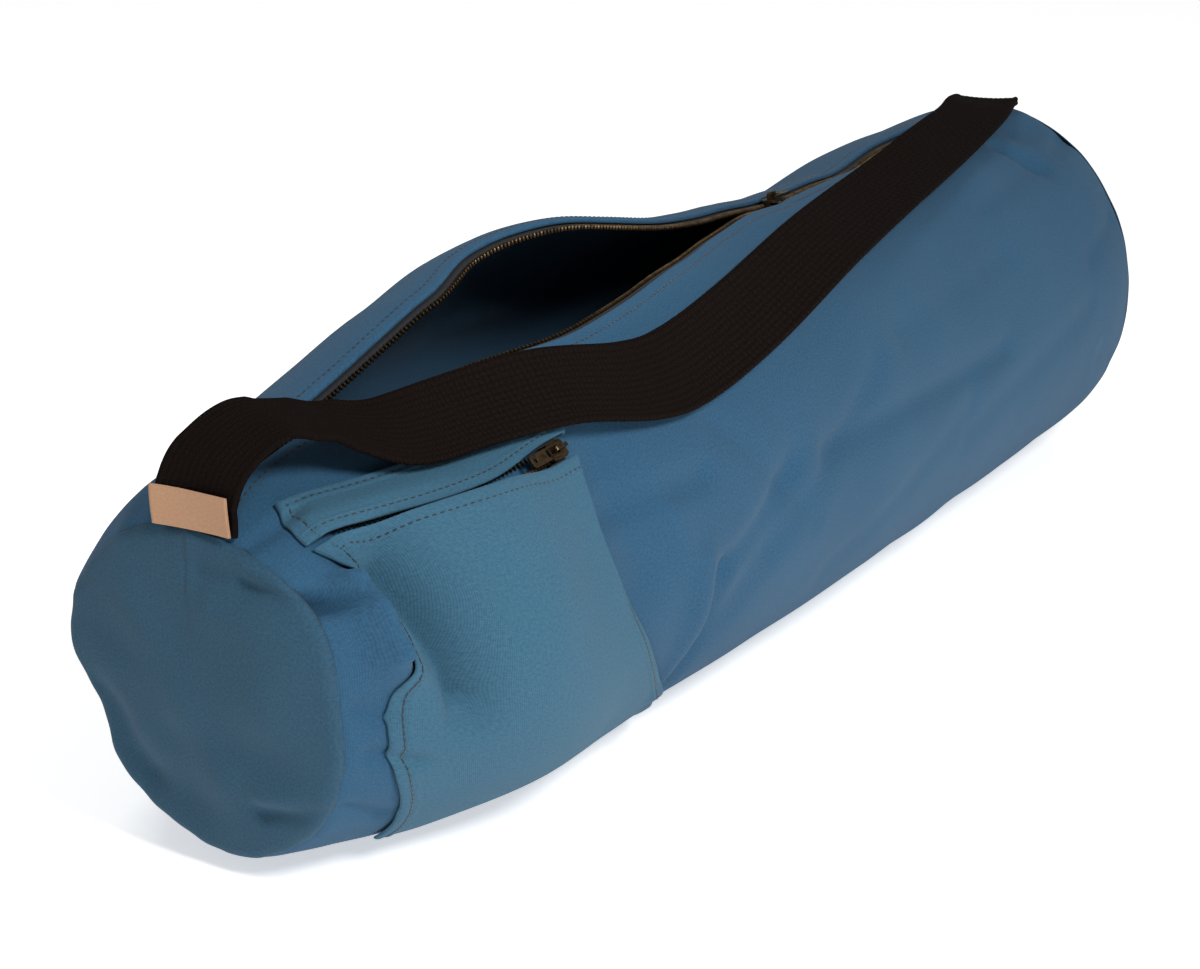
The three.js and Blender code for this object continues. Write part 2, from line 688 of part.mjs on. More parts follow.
// The strap's middle line by its table's rows, evenly from the first to the last
function strapLine(u) {
  const rows = strapRoute.map((row, k) => ({ ...row, step: k / (strapRoute.length - 1) }));
  const get = (column) => read(rows, "step", column, u);
  const along = get("along");
  const point = tubePoint(Math.max(along, -1), get("angle"), get("lift") * bagHeight);
  point.x += Math.min(along + 1, 0) * halfLength;
  return { point, lean: get("lean"), wrap: get("wrap") };
}

function strap() {
  const face = (out) => (u, v) => strapPoint(u, 2 * v - 1, out);
  const shape = slab(face(strapThick / 2), face(-strapThick / 2), strapSteps, strapStrips);
  return named("strap", shape, webbing);
}

// The folded tag that stands up from the near seam in front of the strap's root
function endLabel() {
  const root = strapLine(0).point;
  const foot = ellipsePoint(-1, strapRoute[0].angle, 0);
  const face = (sign) => (across, up) => {
    const y = root.y + (across - 0.5) * labelWidth;
    const lean = labelLean * Math.sin((Math.PI / 2) * up) + labelOverhang * (2 * across - 1) ** 2;
    const behind = strapThick / 2 + 2 * seamGap + labelThick / 2;
    const x = root.x - behind - lean - (sign * labelThick) / 2;
    return new THREE.Vector3(x, y, foot.z + seamGap + up * labelHeight);
  };
  return named("end_label", slab(face(1), face(-1), labelSteps, labelSteps / 2), labelCloth);
}

const bag = new THREE.Group();
bag.add(
  tubePanel(),
  endDisc("near_end_disc", -1, nearDome),
  endDisc("far_end_disc", 1, farDome),
  zipTapeSide("zip_tape_front", 1),
  zipTapeSide("zip_tape_back", -1),
  zipTeethSide("zip_teeth_front", 1),
  zipTeethSide("zip_teeth_back", -1),
  ...mainSlider(),
  pocketWelt(),
  pocketPanel(),
  ...pocketZip(),
  strap(),
  endLabel(),
);

// The frame's origin is under the middle of the whole bag, at the floor
const reach = new THREE.Box3().setFromObject(bag, true);
const middle = reach.getCenter(new THREE.Vector3());
bag.position.set(-middle.x, -middle.y, 0);

export default new THREE.Group().add(bag);
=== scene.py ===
# %% [markdown]
# # A yoga mat bag, dressed
# The frame gives the plain solids of the bag at their real size. This script puts fine cloth, webbing,
# stitches and zip teeth where those solids are. Sizes are in millimetres, and a mesh is written in metres.

import json

import bmesh
import bpy
import numpy as np
from mathutils import Matrix, Vector


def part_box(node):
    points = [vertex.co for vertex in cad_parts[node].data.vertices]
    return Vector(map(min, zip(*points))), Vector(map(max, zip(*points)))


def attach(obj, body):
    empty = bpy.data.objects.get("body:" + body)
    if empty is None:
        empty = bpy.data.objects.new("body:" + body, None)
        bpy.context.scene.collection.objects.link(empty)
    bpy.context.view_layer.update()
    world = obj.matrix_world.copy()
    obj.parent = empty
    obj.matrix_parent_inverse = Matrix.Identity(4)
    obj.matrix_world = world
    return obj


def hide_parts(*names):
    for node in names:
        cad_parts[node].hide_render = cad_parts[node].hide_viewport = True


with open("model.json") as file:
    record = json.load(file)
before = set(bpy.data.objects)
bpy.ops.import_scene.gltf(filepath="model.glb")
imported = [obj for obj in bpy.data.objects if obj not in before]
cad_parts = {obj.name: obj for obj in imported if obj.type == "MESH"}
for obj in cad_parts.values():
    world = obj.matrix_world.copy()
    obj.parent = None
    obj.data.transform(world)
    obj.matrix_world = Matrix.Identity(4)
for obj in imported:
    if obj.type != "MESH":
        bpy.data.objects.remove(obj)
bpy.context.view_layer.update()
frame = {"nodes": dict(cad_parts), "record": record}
MM = 0.001
BODY = "bag"

# %% [markdown]
# ## The driving sizes
# A sewn bag starts from a cutting list. These are the same sizes that the solids have, so that every
# piece lands on its solid: the tube, its zip, its pocket, its strap and its tag.

# %% Driving sizes
BAG_LENGTH, BAG_WIDTH, BAG_HEIGHT = 660.0, 190.0, 192.0
PRESSED_FLAT = 3.0
CLOTH, SEAM_GAP, LAYER_GAP = 1.6, 0.3, 0.9
NEAR_DOME, FAR_DOME = 6.0, 12.0
NEAR_LEAN, FAR_LEAN, LEAN_REACH = (0.064, -0.121), (0.13, 0.043), 0.25
OUTLINE_REACH = 0.07
MOUTH_GAPE, LIP_SETBACK, LIP_FADE = 50.0, 4.5, 36.0
TAPE_HIDDEN, TAPE, TAPE_EDGE = 9.0, 0.9, 2.2
TEETH_THICK, TEETH_INNER, TEETH_OUTER, ROW_SPREAD = 2.4, 0.15, 1.9, 1.3
SLIDER_ALONG, SLIDER_LENGTH = 0.17, 9.0
POCKET_CLOTH, POCKET_BULGE, BULGE_HEIGHT, POCKET_GAPE, POCKET_RISE = 1.2, 9.0, 0.8, 9.0, 4.0
POCKET_LIP, POCKET_LIP_CLOSED, SLIDER_EASE = 4.0, 1.5, 0.3
POCKET_TAPE, POCKET_TAPE_GAP, POCKET_END = 4.5, 1.3, 0.055
POCKET_SLIDER, WELT_SLOPE, BRIDGING = 0.88, 0.75, 0.7
STRAP_WIDTH, STRAP_THICK = 35.0, 2.2
LABEL_WIDTH, LABEL_HEIGHT, LABEL_THICK, LABEL_LEAN, LABEL_OVERHANG = 33.5, 15.0, 1.0, 1.5, 1.0
HALF = BAG_LENGTH / 2
MEAN_RADIUS = (BAG_WIDTH + BAG_HEIGHT) / 4
ZIP_DEPTH = CLOTH + LAYER_GAP + TAPE / 2


def table(words, rows):
    """A table of named columns: the first column is the place, the others are read at a place."""
    return dict(zip(words.split(), np.array(rows, float).T))


SECTIONS = table(
    "along width height shift lift",
    [
        (-1.0, 0.668, 0.688, 0.037, 0.062),
        (-0.93, 0.79, 0.78, 0.032, 0.036),
        (-0.8, 0.895, 0.88, 0.011, 0.005),
        (-0.62, 0.965, 0.965, -0.005, 0),
        (-0.33, 1.0, 1.0, -0.026, 0),
        (0.0, 0.99, 0.975, -0.03, 0),
        (0.33, 0.94, 0.93, -0.018, 0),
        (0.66, 0.905, 0.91, 0.0, 0),
        (0.9, 0.888, 0.898, 0.017, 0),
        (1.0, 0.863, 0.885, 0.026, 0),
    ],
)
NEAR_OUTLINE = table(
    "angle radius",
    [
        (-180, 1.04),
        (-160, 1.0),
        (-135, 1.0),
        (-106, 0.9),
        (-84, 1.03),
        (-50, 0.99),
        (0, 0.96),
        (32, 0.98),
        (58, 1.04),
        (85, 0.96),
        (120, 0.99),
        (150, 1.01),
        (180, 1.04),
    ],
)
MOUTH = table(
    "along centre front back rise",
    [
        (-1.0, 2, 0, 0, 0),
        (-0.86, 2.5, 0.02, 0, 0),
        (-0.7, 4, 0.4, 0, 0.024),
        (-0.6, 5, 0.55, 0, 0.048),
        (-0.5, 6, 0.62, 0.14, 0.076),
        (-0.38, 7, 0.54, 0.1, 0.08),
        (-0.22, 8, 0.34, 0.02, 0.042),
        (-0.08, 8, 0.14, 0, 0.014),
        (0.06, 7, 0.02, 0, 0),
        (0.2, 5, 0, 0, 0),
        (0.6, -3, 0, 0, 0),
        (1.0, -6, 0, 0, 0),
    ],
)
POCKET_SIDES = table(
    "angle left right",
    [
        (18, -0.95, -0.66),
        (36, -0.964, -0.642),
        (52, -0.941, -0.64),
        (72, -0.937, -0.655),
        (90, -0.96, -0.62),
        (110, -0.95, -0.55),
        (130, -0.915, -0.46),
        (152, -0.885, -0.37),
    ],
)
POCKET_LINES = table(
    "across top zip hem",
    [(0, 21, 37.5, 150), (0.3, 30, 45.5, 151), (0.6, 35, 49.5, 151), (1, 40, 51.5, 149)],
)
STRAP_ROUTE = table(
    "step along angle lift lean wrap",
    [
        (0, -1.0, 4, 0.011, 0, 0),
        (1, -1.0, 5, 0.075, 0, 0),
        (2, -0.985, 7, 0.125, 2, 0),
        (3, -0.945, 10, 0.13, 6, 0),
        (4, -0.9, 15, 0.1, 14, 0),
        (5, -0.865, 20, 0.066, 22, 0.2),
        (6, -0.82, 27, 0.042, 29, 0.6),
        (7, -0.75, 32.5, 0.042, 33, 1),
        (8, -0.62, 40.5, 0.04, 40, 1),
        (9, -0.5, 47, 0.018, 47, 1),
        (10, -0.4, 48, 0.013, 48, 1),
        (11, -0.23, 43.5, 0.013, 43, 1),
        (12, 0.04, 33, 0.013, 28, 1),
        (13, 0.34, 22.5, 0.013, 18, 1),
        (14, 0.61, 14, 0.012, 12, 1),
        (15, 0.82, 6.5, 0.012, 5, 1),
        (16, 0.93, 0, 0.012, 0, 1),
        (17, 0.985, -3.5, 0.012, -3.5, 1),
        (18, 0.998, -3.8, 0.001, -3.5, 1),
    ],
)
STRAP_LAST = len(STRAP_ROUTE["step"]) - 1
FINE_HEIGHT, DISC_HEIGHT = 1.3, 1.7

# %% [markdown]
# ## Folds
# Slack cloth falls into valleys with round ridges beside them. Each row is one fold: where its line
# starts and ends on the unrolled tube, how high it stands and how far it fades. The first rows are the
# solids' own folds, as shares of the bag's height, and the finer ones after them only show up close.

# %% Fold tables
FOLD_WORDS = "from_along from_angle to_along to_angle height breadth"
FOLDS = table(
    FOLD_WORDS,
    [
        (-0.918, 48, -0.885, 96, -0.06, 0.04),
        (-0.958, 53, -0.955, 78, 0.036, 0.038),
        (-1.0, 50, -0.97, 55, -0.03, 0.03),
        (-0.61, 60, -0.58, 88, -0.03, 0.08),
        (-0.45, 129, -0.25, 81, -0.015, 0.06),
        (-0.14, 80, 0.44, 80, -0.008, 0.07),
        (-0.08, -30, 0.4, -30, -0.05, 0.24),
        (-0.84, -42, -0.36, -42, -0.03, 0.2),
        (0.88, 20, 0.94, 20, -0.02, 0.06),
    ],
)
FINE_FOLDS = table(
    FOLD_WORDS,
    [
        (-0.998, 49, -0.967, 56, -0.034, 0.018),
        (-0.958, 51, -0.957, 74, 0.03, 0.022),
        (-0.957, 74, -0.94, 82, 0.012, 0.028),
        (-0.925, 52, -0.885, 92, -0.03, 0.022),
        (-0.97, 104, -0.93, 108, -0.012, 0.02),
        (-0.985, 86, -0.965, 92, -0.01, 0.014),
        (-0.98, 124, -0.93, 132, -0.01, 0.024),
        (-0.99, 24, -0.95, 27, -0.008, 0.02),
        (-0.63, 70, -0.45, 73, -0.014, 0.03),
        (-0.42, 134, -0.41, 98, -0.014, 0.03),
        (-0.41, 98, -0.25, 82, -0.011, 0.03),
        (-0.47, 128, -0.46, 92, 0.012, 0.035),
        (-0.165, 81.5, 0.43, 81.5, -0.009, 0.028),
        (0.79, 22, 0.82, 36, -0.016, 0.035),
        (-0.53, 72, -0.44, 112, 0.006, 0.035),
        (-0.4, 62, -0.2, 98, -0.006, 0.03),
        (-0.3, 100, 0.02, 66, -0.007, 0.035),
        (-0.1, 118, 0.3, 92, -0.005, 0.04),
        (0.1, 62, 0.52, 56, -0.006, 0.035),
        (0.3, 100, 0.78, 84, -0.005, 0.04),
        (0.55, 40, 0.86, 33, -0.006, 0.03),
        (0.8, 70, 0.96, 62, -0.006, 0.03),
        (0.86, 104, 0.97, 112, -0.006, 0.03),
        (0.9, 34, 0.98, 30, -0.01, 0.028),
        (-0.2, -60, 0.5, -74, -0.008, 0.05),
        (-0.9, -70, -0.6, -96, -0.01, 0.05),
        (0.5, -100, 0.9, -84, -0.008, 0.05),
    ],
)


def read(rows, key, column, at):
    """A cubic through the rows of a table, with each row's slope taken from its neighbours."""
    x, y = rows[key], rows[column]
    last = len(x) - 1
    at = np.asarray(at, float)
    i = np.searchsorted(x[1:last], at, side="left")
    low, high = np.maximum(np.arange(last + 1) - 1, 0), np.minimum(np.arange(last + 1) + 1, last)
    slope = (y[high] - y[low]) / (x[high] - x[low])
    span = x[i + 1] - x[i]
    t = np.clip((at - x[i]) / span, 0, 1)
    rest = 1 - t
    ends = rest * rest * (1 + 2 * t) * y[i] + t * t * (3 - 2 * t) * y[i + 1]
    return ends + t * rest * rest * span * slope[i] - t * t * rest * span * slope[i + 1]


def section(along, column):
    return read(SECTIONS, "along", column, np.clip(along, -1, 1))


def unrolled(along, angle):
    """A place on the flat cloth, in millimetres."""
    return np.stack(np.broadcast_arrays(along * HALF, np.radians(angle) * MEAN_RADIUS), -1)


def bells(rows, start, end, place):
    """The sum of the folds at a place: each fades as a bell curve away from its line."""
    total = np.zeros(place.shape[:-1])
    for a, b, height, breadth in zip(start, end, rows["height"], rows["breadth"]):
        line = b - a
        t = np.clip(((place - a) @ line) / (line @ line), 0, 1)
        away = np.linalg.norm(place - a - t[..., None] * line, axis=-1)
        total += height * BAG_HEIGHT * np.exp(-((away / (breadth * BAG_HEIGHT)) ** 2))
    return total


def folded(rows, along, angle):
    """The folds of one table on the tube, by share of half the length and by angle."""
    turn = (np.asarray(angle, float) + 540) % 360 - 180
    start = unrolled(rows["from_along"], rows["from_angle"])
    end = unrolled(rows["to_along"], rows["to_angle"])
    return bells(rows, start, end, unrolled(along, turn))


print("folds", len(FOLDS["height"]), "and", len(FINE_FOLDS["height"]), "finer ones")

# %% [markdown]
# ## Rumples and puckers
# Between its folds, washed canvas is never quite flat: it has low rumples a few centimetres across, and
# it gathers into small puckers where a seam has drawn it up. A sum of slanted waves with seeded
# directions makes the first, and waves round the seam that fade away from it make the second.

# %% Rumples and puckers
WAVES = 14
RUMPLE = 0.45
random = np.random.default_rng(7)
wave_lengths = random.uniform(34, 110, WAVES)
wave_turns = random.uniform(0, np.pi, WAVES)
wave_starts = random.uniform(0, 2 * np.pi, WAVES)


def rumples(place):
    """Low waves in every direction, each about as high as a hundredth of its length."""
    total = np.zeros(place.shape[:-1])
    for length, turn, start in zip(wave_lengths, wave_turns, wave_starts):
        along = place @ np.array([np.cos(turn), np.sin(turn)])
        total += (length / 80) * np.sin(2 * np.pi * along / length + start)
    return total * RUMPLE / np.sqrt(WAVES / 2)


def puckers(along, angle):
    """Gathers at both end seams: three waves round the tube, fading within some 15 mm."""
    turn = np.radians(angle)
    waves = np.sin(11 * turn + 1) + 0.7 * np.sin(19 * turn + 2 * np.cos(2 * turn)) + 0.4 * np.sin(31 * turn)
    near = np.exp(-(along + 1) * HALF / 14)
    far = np.exp(-(1 - along) * HALF / 9)
    return waves * (0.36 * near + 0.16 * far)


def relief(along, angle):
    """All that the tube's cloth stands out or in by: folds, fine folds, rumples and puckers."""
    turn = (np.asarray(angle, float) + 540) % 360 - 180
    sides = (1 - np.abs(turn) / 180) ** 0.5
    low = rumples(unrolled(along, turn)) * sides + puckers(along, turn)
    under = np.clip((165 - np.abs(turn)) / 25, 0, 1)
    return folded(FOLDS, along, turn) + (FINE_HEIGHT * folded(FINE_FOLDS, along, turn) + low) * under


# %% [markdown]
# ## The tube as a formula
# Every layer of the bag lies on the tube, so one function gives a point of it: a share of half the
# length, an angle round from the top to the front, and a distance outwards. The cross-section is an
# ellipse on the floor, and the end seams lean and run unevenly.

# %% Tube formula
def clamp(t):
    return np.clip(t, 0, 1)


def ring(along):
    height = section(along, "height") * BAG_HEIGHT / 2
    width = section(along, "width") * BAG_WIDTH / 2
    middle = height - PRESSED_FLAT + section(along, "lift") * BAG_HEIGHT
    return width, height, section(along, "shift") * BAG_WIDTH, middle


def ellipse_point(along, angle, out):
    """A point out from the smooth tube, in millimetres before the frame's shift."""
    along, angle, out = np.broadcast_arrays(*(np.asarray(v, float) for v in (along, angle, out)))
    width, height, shift, middle = ring(along)
    turn = (angle + 540) % 360 - 180
    fade = clamp((-along - 1 + OUTLINE_REACH) / OUTLINE_REACH)
    uneven = 1 + fade * (read(NEAR_OUTLINE, "angle", "radius", turn) - 1)
    y = -(width * uneven + out) * np.sin(np.radians(angle))
    z = (height * uneven + out) * np.cos(np.radians(angle))
    near = clamp((-along - 1 + LEAN_REACH) / LEAN_REACH)
    far = clamp((along - 1 + LEAN_REACH) / LEAN_REACH)
    x = along * HALF + near * (NEAR_LEAN[0] * y + NEAR_LEAN[1] * z) + far * (FAR_LEAN[0] * y + FAR_LEAN[1] * z)
    return np.stack([x, shift + y, np.maximum(middle + z, -np.minimum(out, 0))], -1)


def tube_point(along, angle, out):
    return ellipse_point(along, angle, out + relief(along, angle))


def to_angle(arc, along):
    return np.degrees(arc / ring(along)[1])


def slider_spread(along):
    """How far the slider has driven each row of teeth from the middle line."""
    to_nose = (SLIDER_ALONG - along) * HALF + SLIDER_LENGTH / 2
    return ROW_SPREAD * clamp(to_nose / SLIDER_LENGTH)


def lip_angle(side, along):
    gape = read(MOUTH, "along", "front" if side > 0 else "back", along) * MOUTH_GAPE
    arc = LIP_SETBACK + np.maximum(gape, 0) + slider_spread(along)
    return read(MOUTH, "along", "centre", along) + side * to_angle(arc, along)


def lip_rise(along, away):
    """How far the cloth stands up near the back lip, by its distance in degrees from that lip."""
    t = clamp(away / LIP_FADE)
    return np.maximum(read(MOUTH, "along", "rise", along), 0) * BAG_HEIGHT * (1 - t) ** 2 * (1 + 2 * t)


def lip_point(side, along, reach, out):
    """A point beside a lip of the mouth: reach is the distance beyond the lip into the mouth."""
    angle = lip_angle(side, along) - side * to_angle(reach, along)
    rise = lip_rise(along, to_angle(-reach, along)) if side < 0 else 0
    return tube_point(along, angle, out + rise)


solid_low, solid_high = (np.array(corner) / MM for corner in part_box("tube_panel"))
probe_along, probe_angle = np.meshgrid(np.linspace(-1, 1, 201), np.linspace(0, 360, 181))
probe = ellipse_point(probe_along, probe_angle, folded(FOLDS, probe_along, probe_angle))
SHIFT = (solid_low + solid_high) / 2 - (probe.min((0, 1)) + probe.max((0, 1))) / 2
SHIFT[2] = 0
print("shift of the frame", np.round(SHIFT, 2))

# %% [markdown]
# ## From a formula to a mesh
# A sheet of cloth is two grids of points, its face and its back, that meet in a round edge. The
# thickness closes along a quarter circle at each edge, so a few extra rows lie close to it. The unrolled
# place of each point goes into the UV map in metres, and there the weave reads it.

# %% Mesh helpers
def smoothstep(t):
    held = clamp(t)
    return held * held * (3 - 2 * held)


def edge_rows(count, length, rim=0.0):
    """Parameters from 0 to 1, evenly but for three rows within the rim at each end."""
    even = np.linspace(0, 1, count + 1)
    if not rim:
        return even
    near = rim / length * np.array([0.1, 0.35, 1.0])
    inner = even[(even > near[-1] * 1.5) & (even < 1 - near[-1] * 1.5)]
    return np.concatenate([[0], near, inner, 1 - near[::-1], [1]])


def rounded(distance, rim):
    """The share of the full thickness at a distance from an edge that is rounded over a rim."""
    return np.sqrt(1 - (1 - clamp(distance / rim)) ** 2)


def write_mesh(name, points, faces, uv=None, welded=True):
    """An object in metres from points in millimetres, with smooth faces that point outwards."""
    mesh = bpy.data.meshes.new(name)
    mesh.from_pydata(((points + SHIFT) * MM).tolist(), [], faces.tolist())
    if uv is not None:
        corners = np.empty(len(mesh.loops), np.int32)
        mesh.loops.foreach_get("vertex_index", corners)
        layer = mesh.uv_layers.new(name="cloth")
        layer.data.foreach_set("uv", (uv * MM)[corners].astype(np.float32).ravel())
    if welded:
        work = bmesh.new()
        work.from_mesh(mesh)
        bmesh.ops.remove_doubles(work, verts=work.verts, dist=1e-6)
        bmesh.ops.recalc_face_normals(work, faces=work.faces)
        work.to_mesh(mesh)
        work.free()
    mesh.shade_smooth()
    piece = bpy.data.objects.new(name, mesh)
    bpy.context.collection.objects.link(piece)
    return piece


def grid_faces(columns, rows, start=0, flip=False):
    i, j = np.meshgrid(np.arange(columns - 1), np.arange(rows - 1), indexing="ij")
    a = start + (i * rows + j).ravel()
    quads = np.stack([a, a + rows, a + rows + 1, a + 1], -1)
    return quads[:, ::-1] if flip else quads


def sheet(name, face, back, uv):
    """A closed body from the grids of its face and its back, which meet or are joined at the edges."""
    columns, rows = face.shape[:2]
    size = columns * rows
    number = np.arange(size).reshape(columns, rows)
    border = np.concatenate([number[:-1, 0], number[-1, :-1], number[:0:-1, -1], number[0, :0:-1]])
    after = np.roll(border, -1)
    rim = np.stack([border, border + size, after + size, after], -1)
    faces = np.concatenate([grid_faces(columns, rows), grid_faces(columns, rows, size, True), rim])
    points = np.concatenate([face.reshape(-1, 3), back.reshape(-1, 3)])
    flat = uv.reshape(-1, 2)
    return write_mesh(name, points, faces, np.concatenate([flat, flat]))


def finish_piece(piece, node, material):
    """Gives a piece its finish and body, and hides the solid it stands for."""
    piece.data.materials.clear()
    piece.data.materials.append(material)
    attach(piece, frame_body(node) if node else BODY)
    if node:
        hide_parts(node)
    print(piece.name, len(piece.data.polygons), "faces")
    return piece


def frame_body(node):
    bodies = frame["record"]["behaviour"]["bodies"]
    return next(name for name, nodes in bodies.items() if node in nodes)


# %% [markdown]
# ## Camera, floor and light
# The camera stands where the photograph's did: the round end and the tube's outlines fix it. The floor is
# plain and pale, one large soft light stands before the bag on its front side, and a weaker one behind
# throws the soft shadow towards the viewer.

# %% Camera
CAMERA = Vector((-1236.5, -696.8, 525.9))
YAW, PITCH = 59.19, 18.2
FOCAL_PIXELS, IMAGE_WIDTH, SENSOR = 3424.0, 1200, 36.0
camera = bpy.data.objects.new("camera", bpy.data.cameras.new("camera"))
camera.data.sensor_width = SENSOR
camera.data.lens = SENSOR * FOCAL_PIXELS / IMAGE_WIDTH
camera.data.clip_start, camera.data.clip_end = 0.05, 30
camera.location = (CAMERA + Vector(SHIFT)) * MM
camera.rotation_euler = (np.radians(90 - PITCH), 0, -np.radians(YAW))
bpy.context.collection.objects.link(camera)
bpy.context.scene.camera = camera
bpy.context.scene.view_settings.view_transform = "Standard"


# %% Floor, lights and sky
def area_light(name, place, size, power, aim=(0, 0, 0.08)):
    data = bpy.data.lights.new(name, "AREA")
    data.shape, data.size, data.energy = "DISK", size, power
    light = bpy.data.objects.new(name, data)
    light.location = place
    light.rotation_euler = (Vector(aim) - Vector(place)).to_track_quat("-Z", "Y").to_euler()
    bpy.context.collection.objects.link(light)


area_light("front_light", (-0.7, -1.15, 1.1), 0.4, 21)
area_light("back_light", (-0.6, 0.6, 2.3), 0.8, 14)
sky = bpy.data.worlds.new("sky")
sky.use_nodes = True
sky.node_tree.nodes["Background"].inputs["Color"].default_value = (1, 1, 1, 1)
sky.node_tree.nodes["Background"].inputs["Strength"].default_value = 0.3
bpy.context.scene.world = sky

floor_mesh = bpy.data.meshes.new("floor")
FLOOR = 6.0
floor_mesh.from_pydata([(-FLOOR, -FLOOR, 0), (FLOOR, -FLOOR, 0), (FLOOR, FLOOR, 0), (-FLOOR, FLOOR, 0)], [], [(0, 1, 2, 3)])
floor = bpy.data.objects.new("floor", floor_mesh)
bpy.context.collection.objects.link(floor)

# %% [markdown]
# ## Finishes
# Woven things share one effect: threads that pass over and under each other. It is a node group that
# reads a flat place in metres and gives a height and a shade, which is painted shade in the hollows
# between threads mixed with the yarn's uneven slub. Canvas, webbing and tape place it with their own thread
# widths.

# %% Node helpers
class Nodes:
    """Short calls that add nodes to a tree and join them."""

    def __init__(self, tree):
        self.tree = tree

    def add(self, kind, values=None, **settings):
        node = self.tree.nodes.new(kind)
        for name, value in settings.items():
            setattr(node, name, value)
        for name, value in (values or {}).items():
            self.put(node.inputs[name], value)
        return node

    def put(self, socket, value):
        if isinstance(value, bpy.types.NodeSocket):
            self.tree.links.new(value, socket)
        else:
            socket.default_value = value

    def math(self, operation, *values):
        node = self.add("ShaderNodeMath", operation=operation)
        for socket, value in zip(node.inputs, values):
            self.put(socket, value)
        return node.outputs[0]

    def mix(self, factor, a, b):
        node = self.add("ShaderNodeMix", data_type="RGBA")
        self.put(node.inputs[0], factor)
        self.put(node.inputs[6], a)
        self.put(node.inputs[7], b)
        return node.outputs[2]

    def noise(self, vector, scale, detail=2.0, rough=0.5):
        values = {"Vector": vector, "Scale": scale, "Detail": detail, "Roughness": rough}
        return self.add("ShaderNodeTexNoise", values).outputs["Fac"]

    def ramp(self, value, low, high):
        node = self.add("ShaderNodeMapRange", {"Value": value, "From Min": low, "From Max": high})
        return node.outputs["Result"]


def new_group(name, inputs, outputs):
    group = bpy.data.node_groups.new(name, "ShaderNodeTree")
    for word, kind in inputs:
        group.interface.new_socket(word, in_out="INPUT", socket_type=kind)
    for word, kind in outputs:
        group.interface.new_socket(word, in_out="OUTPUT", socket_type=kind)
    n = Nodes(group)
    return group, n, n.add("NodeGroupInput").outputs, n.add("NodeGroupOutput").inputs


NUMBER, PLACE = "NodeSocketFloat", "NodeSocketVector"


# %% Weave group
def weave_group():
    """Plain weave: where the product of two waves is positive the warp lies on top, else the weft."""
    inputs = [("Place", PLACE), ("Warp", NUMBER), ("Weft", NUMBER), ("Slub", NUMBER)]
    group, n, given, out = new_group("weave", inputs, [("Height", NUMBER), ("Shade", NUMBER)])
    wobble = n.add("ShaderNodeTexNoise", {"Vector": given["Place"], "Scale": 90.0, "Detail": 1.0})
    drift = n.add("ShaderNodeVectorMath", operation="MULTIPLY_ADD")
    n.put(drift.inputs[0], wobble.outputs["Color"])
    n.put(drift.inputs[1], (0.0012, 0.0012, 0))
    n.put(drift.inputs[2], given["Place"])
    parts = n.add("ShaderNodeSeparateXYZ", {"Vector": drift.outputs[0]}).outputs
    warp = n.math("SINE", n.math("DIVIDE", n.math("MULTIPLY", parts[0], np.pi), given["Warp"]))
    weft = n.math("SINE", n.math("DIVIDE", n.math("MULTIPLY", parts[1], np.pi), given["Weft"]))
    product = n.math("MULTIPLY", warp, weft)
    over = n.math("GREATER_THAN", product, 0.0)
    round_warp = n.math("POWER", n.math("ABSOLUTE", warp), 0.6)
    round_weft = n.math("POWER", n.math("ABSOLUTE", weft), 0.6)
    crown = n.math("ABSOLUTE", product)
    on_warp = n.math("MULTIPLY", over, round_warp)
    on_weft = n.math("MULTIPLY", n.math("SUBTRACT", 1.0, over), round_weft)
    thread = n.math("ADD", on_warp, on_weft)
    height = n.math("MULTIPLY", thread, n.math("MULTIPLY_ADD", crown, 0.5, 0.5))
    slub = n.ramp(n.noise(given["Place"], 950.0, 3.0), 0.3, 0.7)
    uneven = n.math("MULTIPLY_ADD", n.math("SUBTRACT", slub, 0.5), given["Slub"], 1.0)
    n.put(out["Height"], n.math("MULTIPLY", height, uneven))
    # The shade is half painted shade, lighter on the thread crowns and darker between them, and half the yarn's
    # own uneven slub.
    n.put(out["Shade"], n.math("MULTIPLY_ADD", height, 0.5, n.math("MULTIPLY", slub, 0.5)))
    return group


WEAVE = weave_group()


# %% Wear group
def wear_group():
    """Uneven dye and rubbed cloth: broad clouds of shade, and fine dust that gathers in spots."""
    group, n, given, out = new_group("wear", [("Place", PLACE)], [("Cloud", NUMBER), ("Dust", NUMBER)])
    n.put(out["Cloud"], n.ramp(n.noise(given["Place"], 9.0, 4.0, 0.55), 0.3, 0.7))
    n.put(out["Dust"], n.ramp(n.noise(given["Place"], 600.0, 3.0, 0.7), 0.55, 0.8))
    return group


WEAR = wear_group()


# %% Cloth material
def bump_of(n, height, strength, distance):
    values = {"Height": height, "Strength": strength, "Distance": distance}
    return n.add("ShaderNodeBump", values).outputs["Normal"]


def new_material(name, roughness, **fixed):
    """A material with one Principled shader, whose even values are set on its own sockets."""
    material = bpy.data.materials.new(name)
    material.use_nodes = True
    shader = material.node_tree.nodes["Principled BSDF"]
    shader.inputs["Roughness"].default_value = roughness
    for word, value in fixed.items():
        shader.inputs[word.replace("_", " ")].default_value = value
    return material, Nodes(material.node_tree), shader


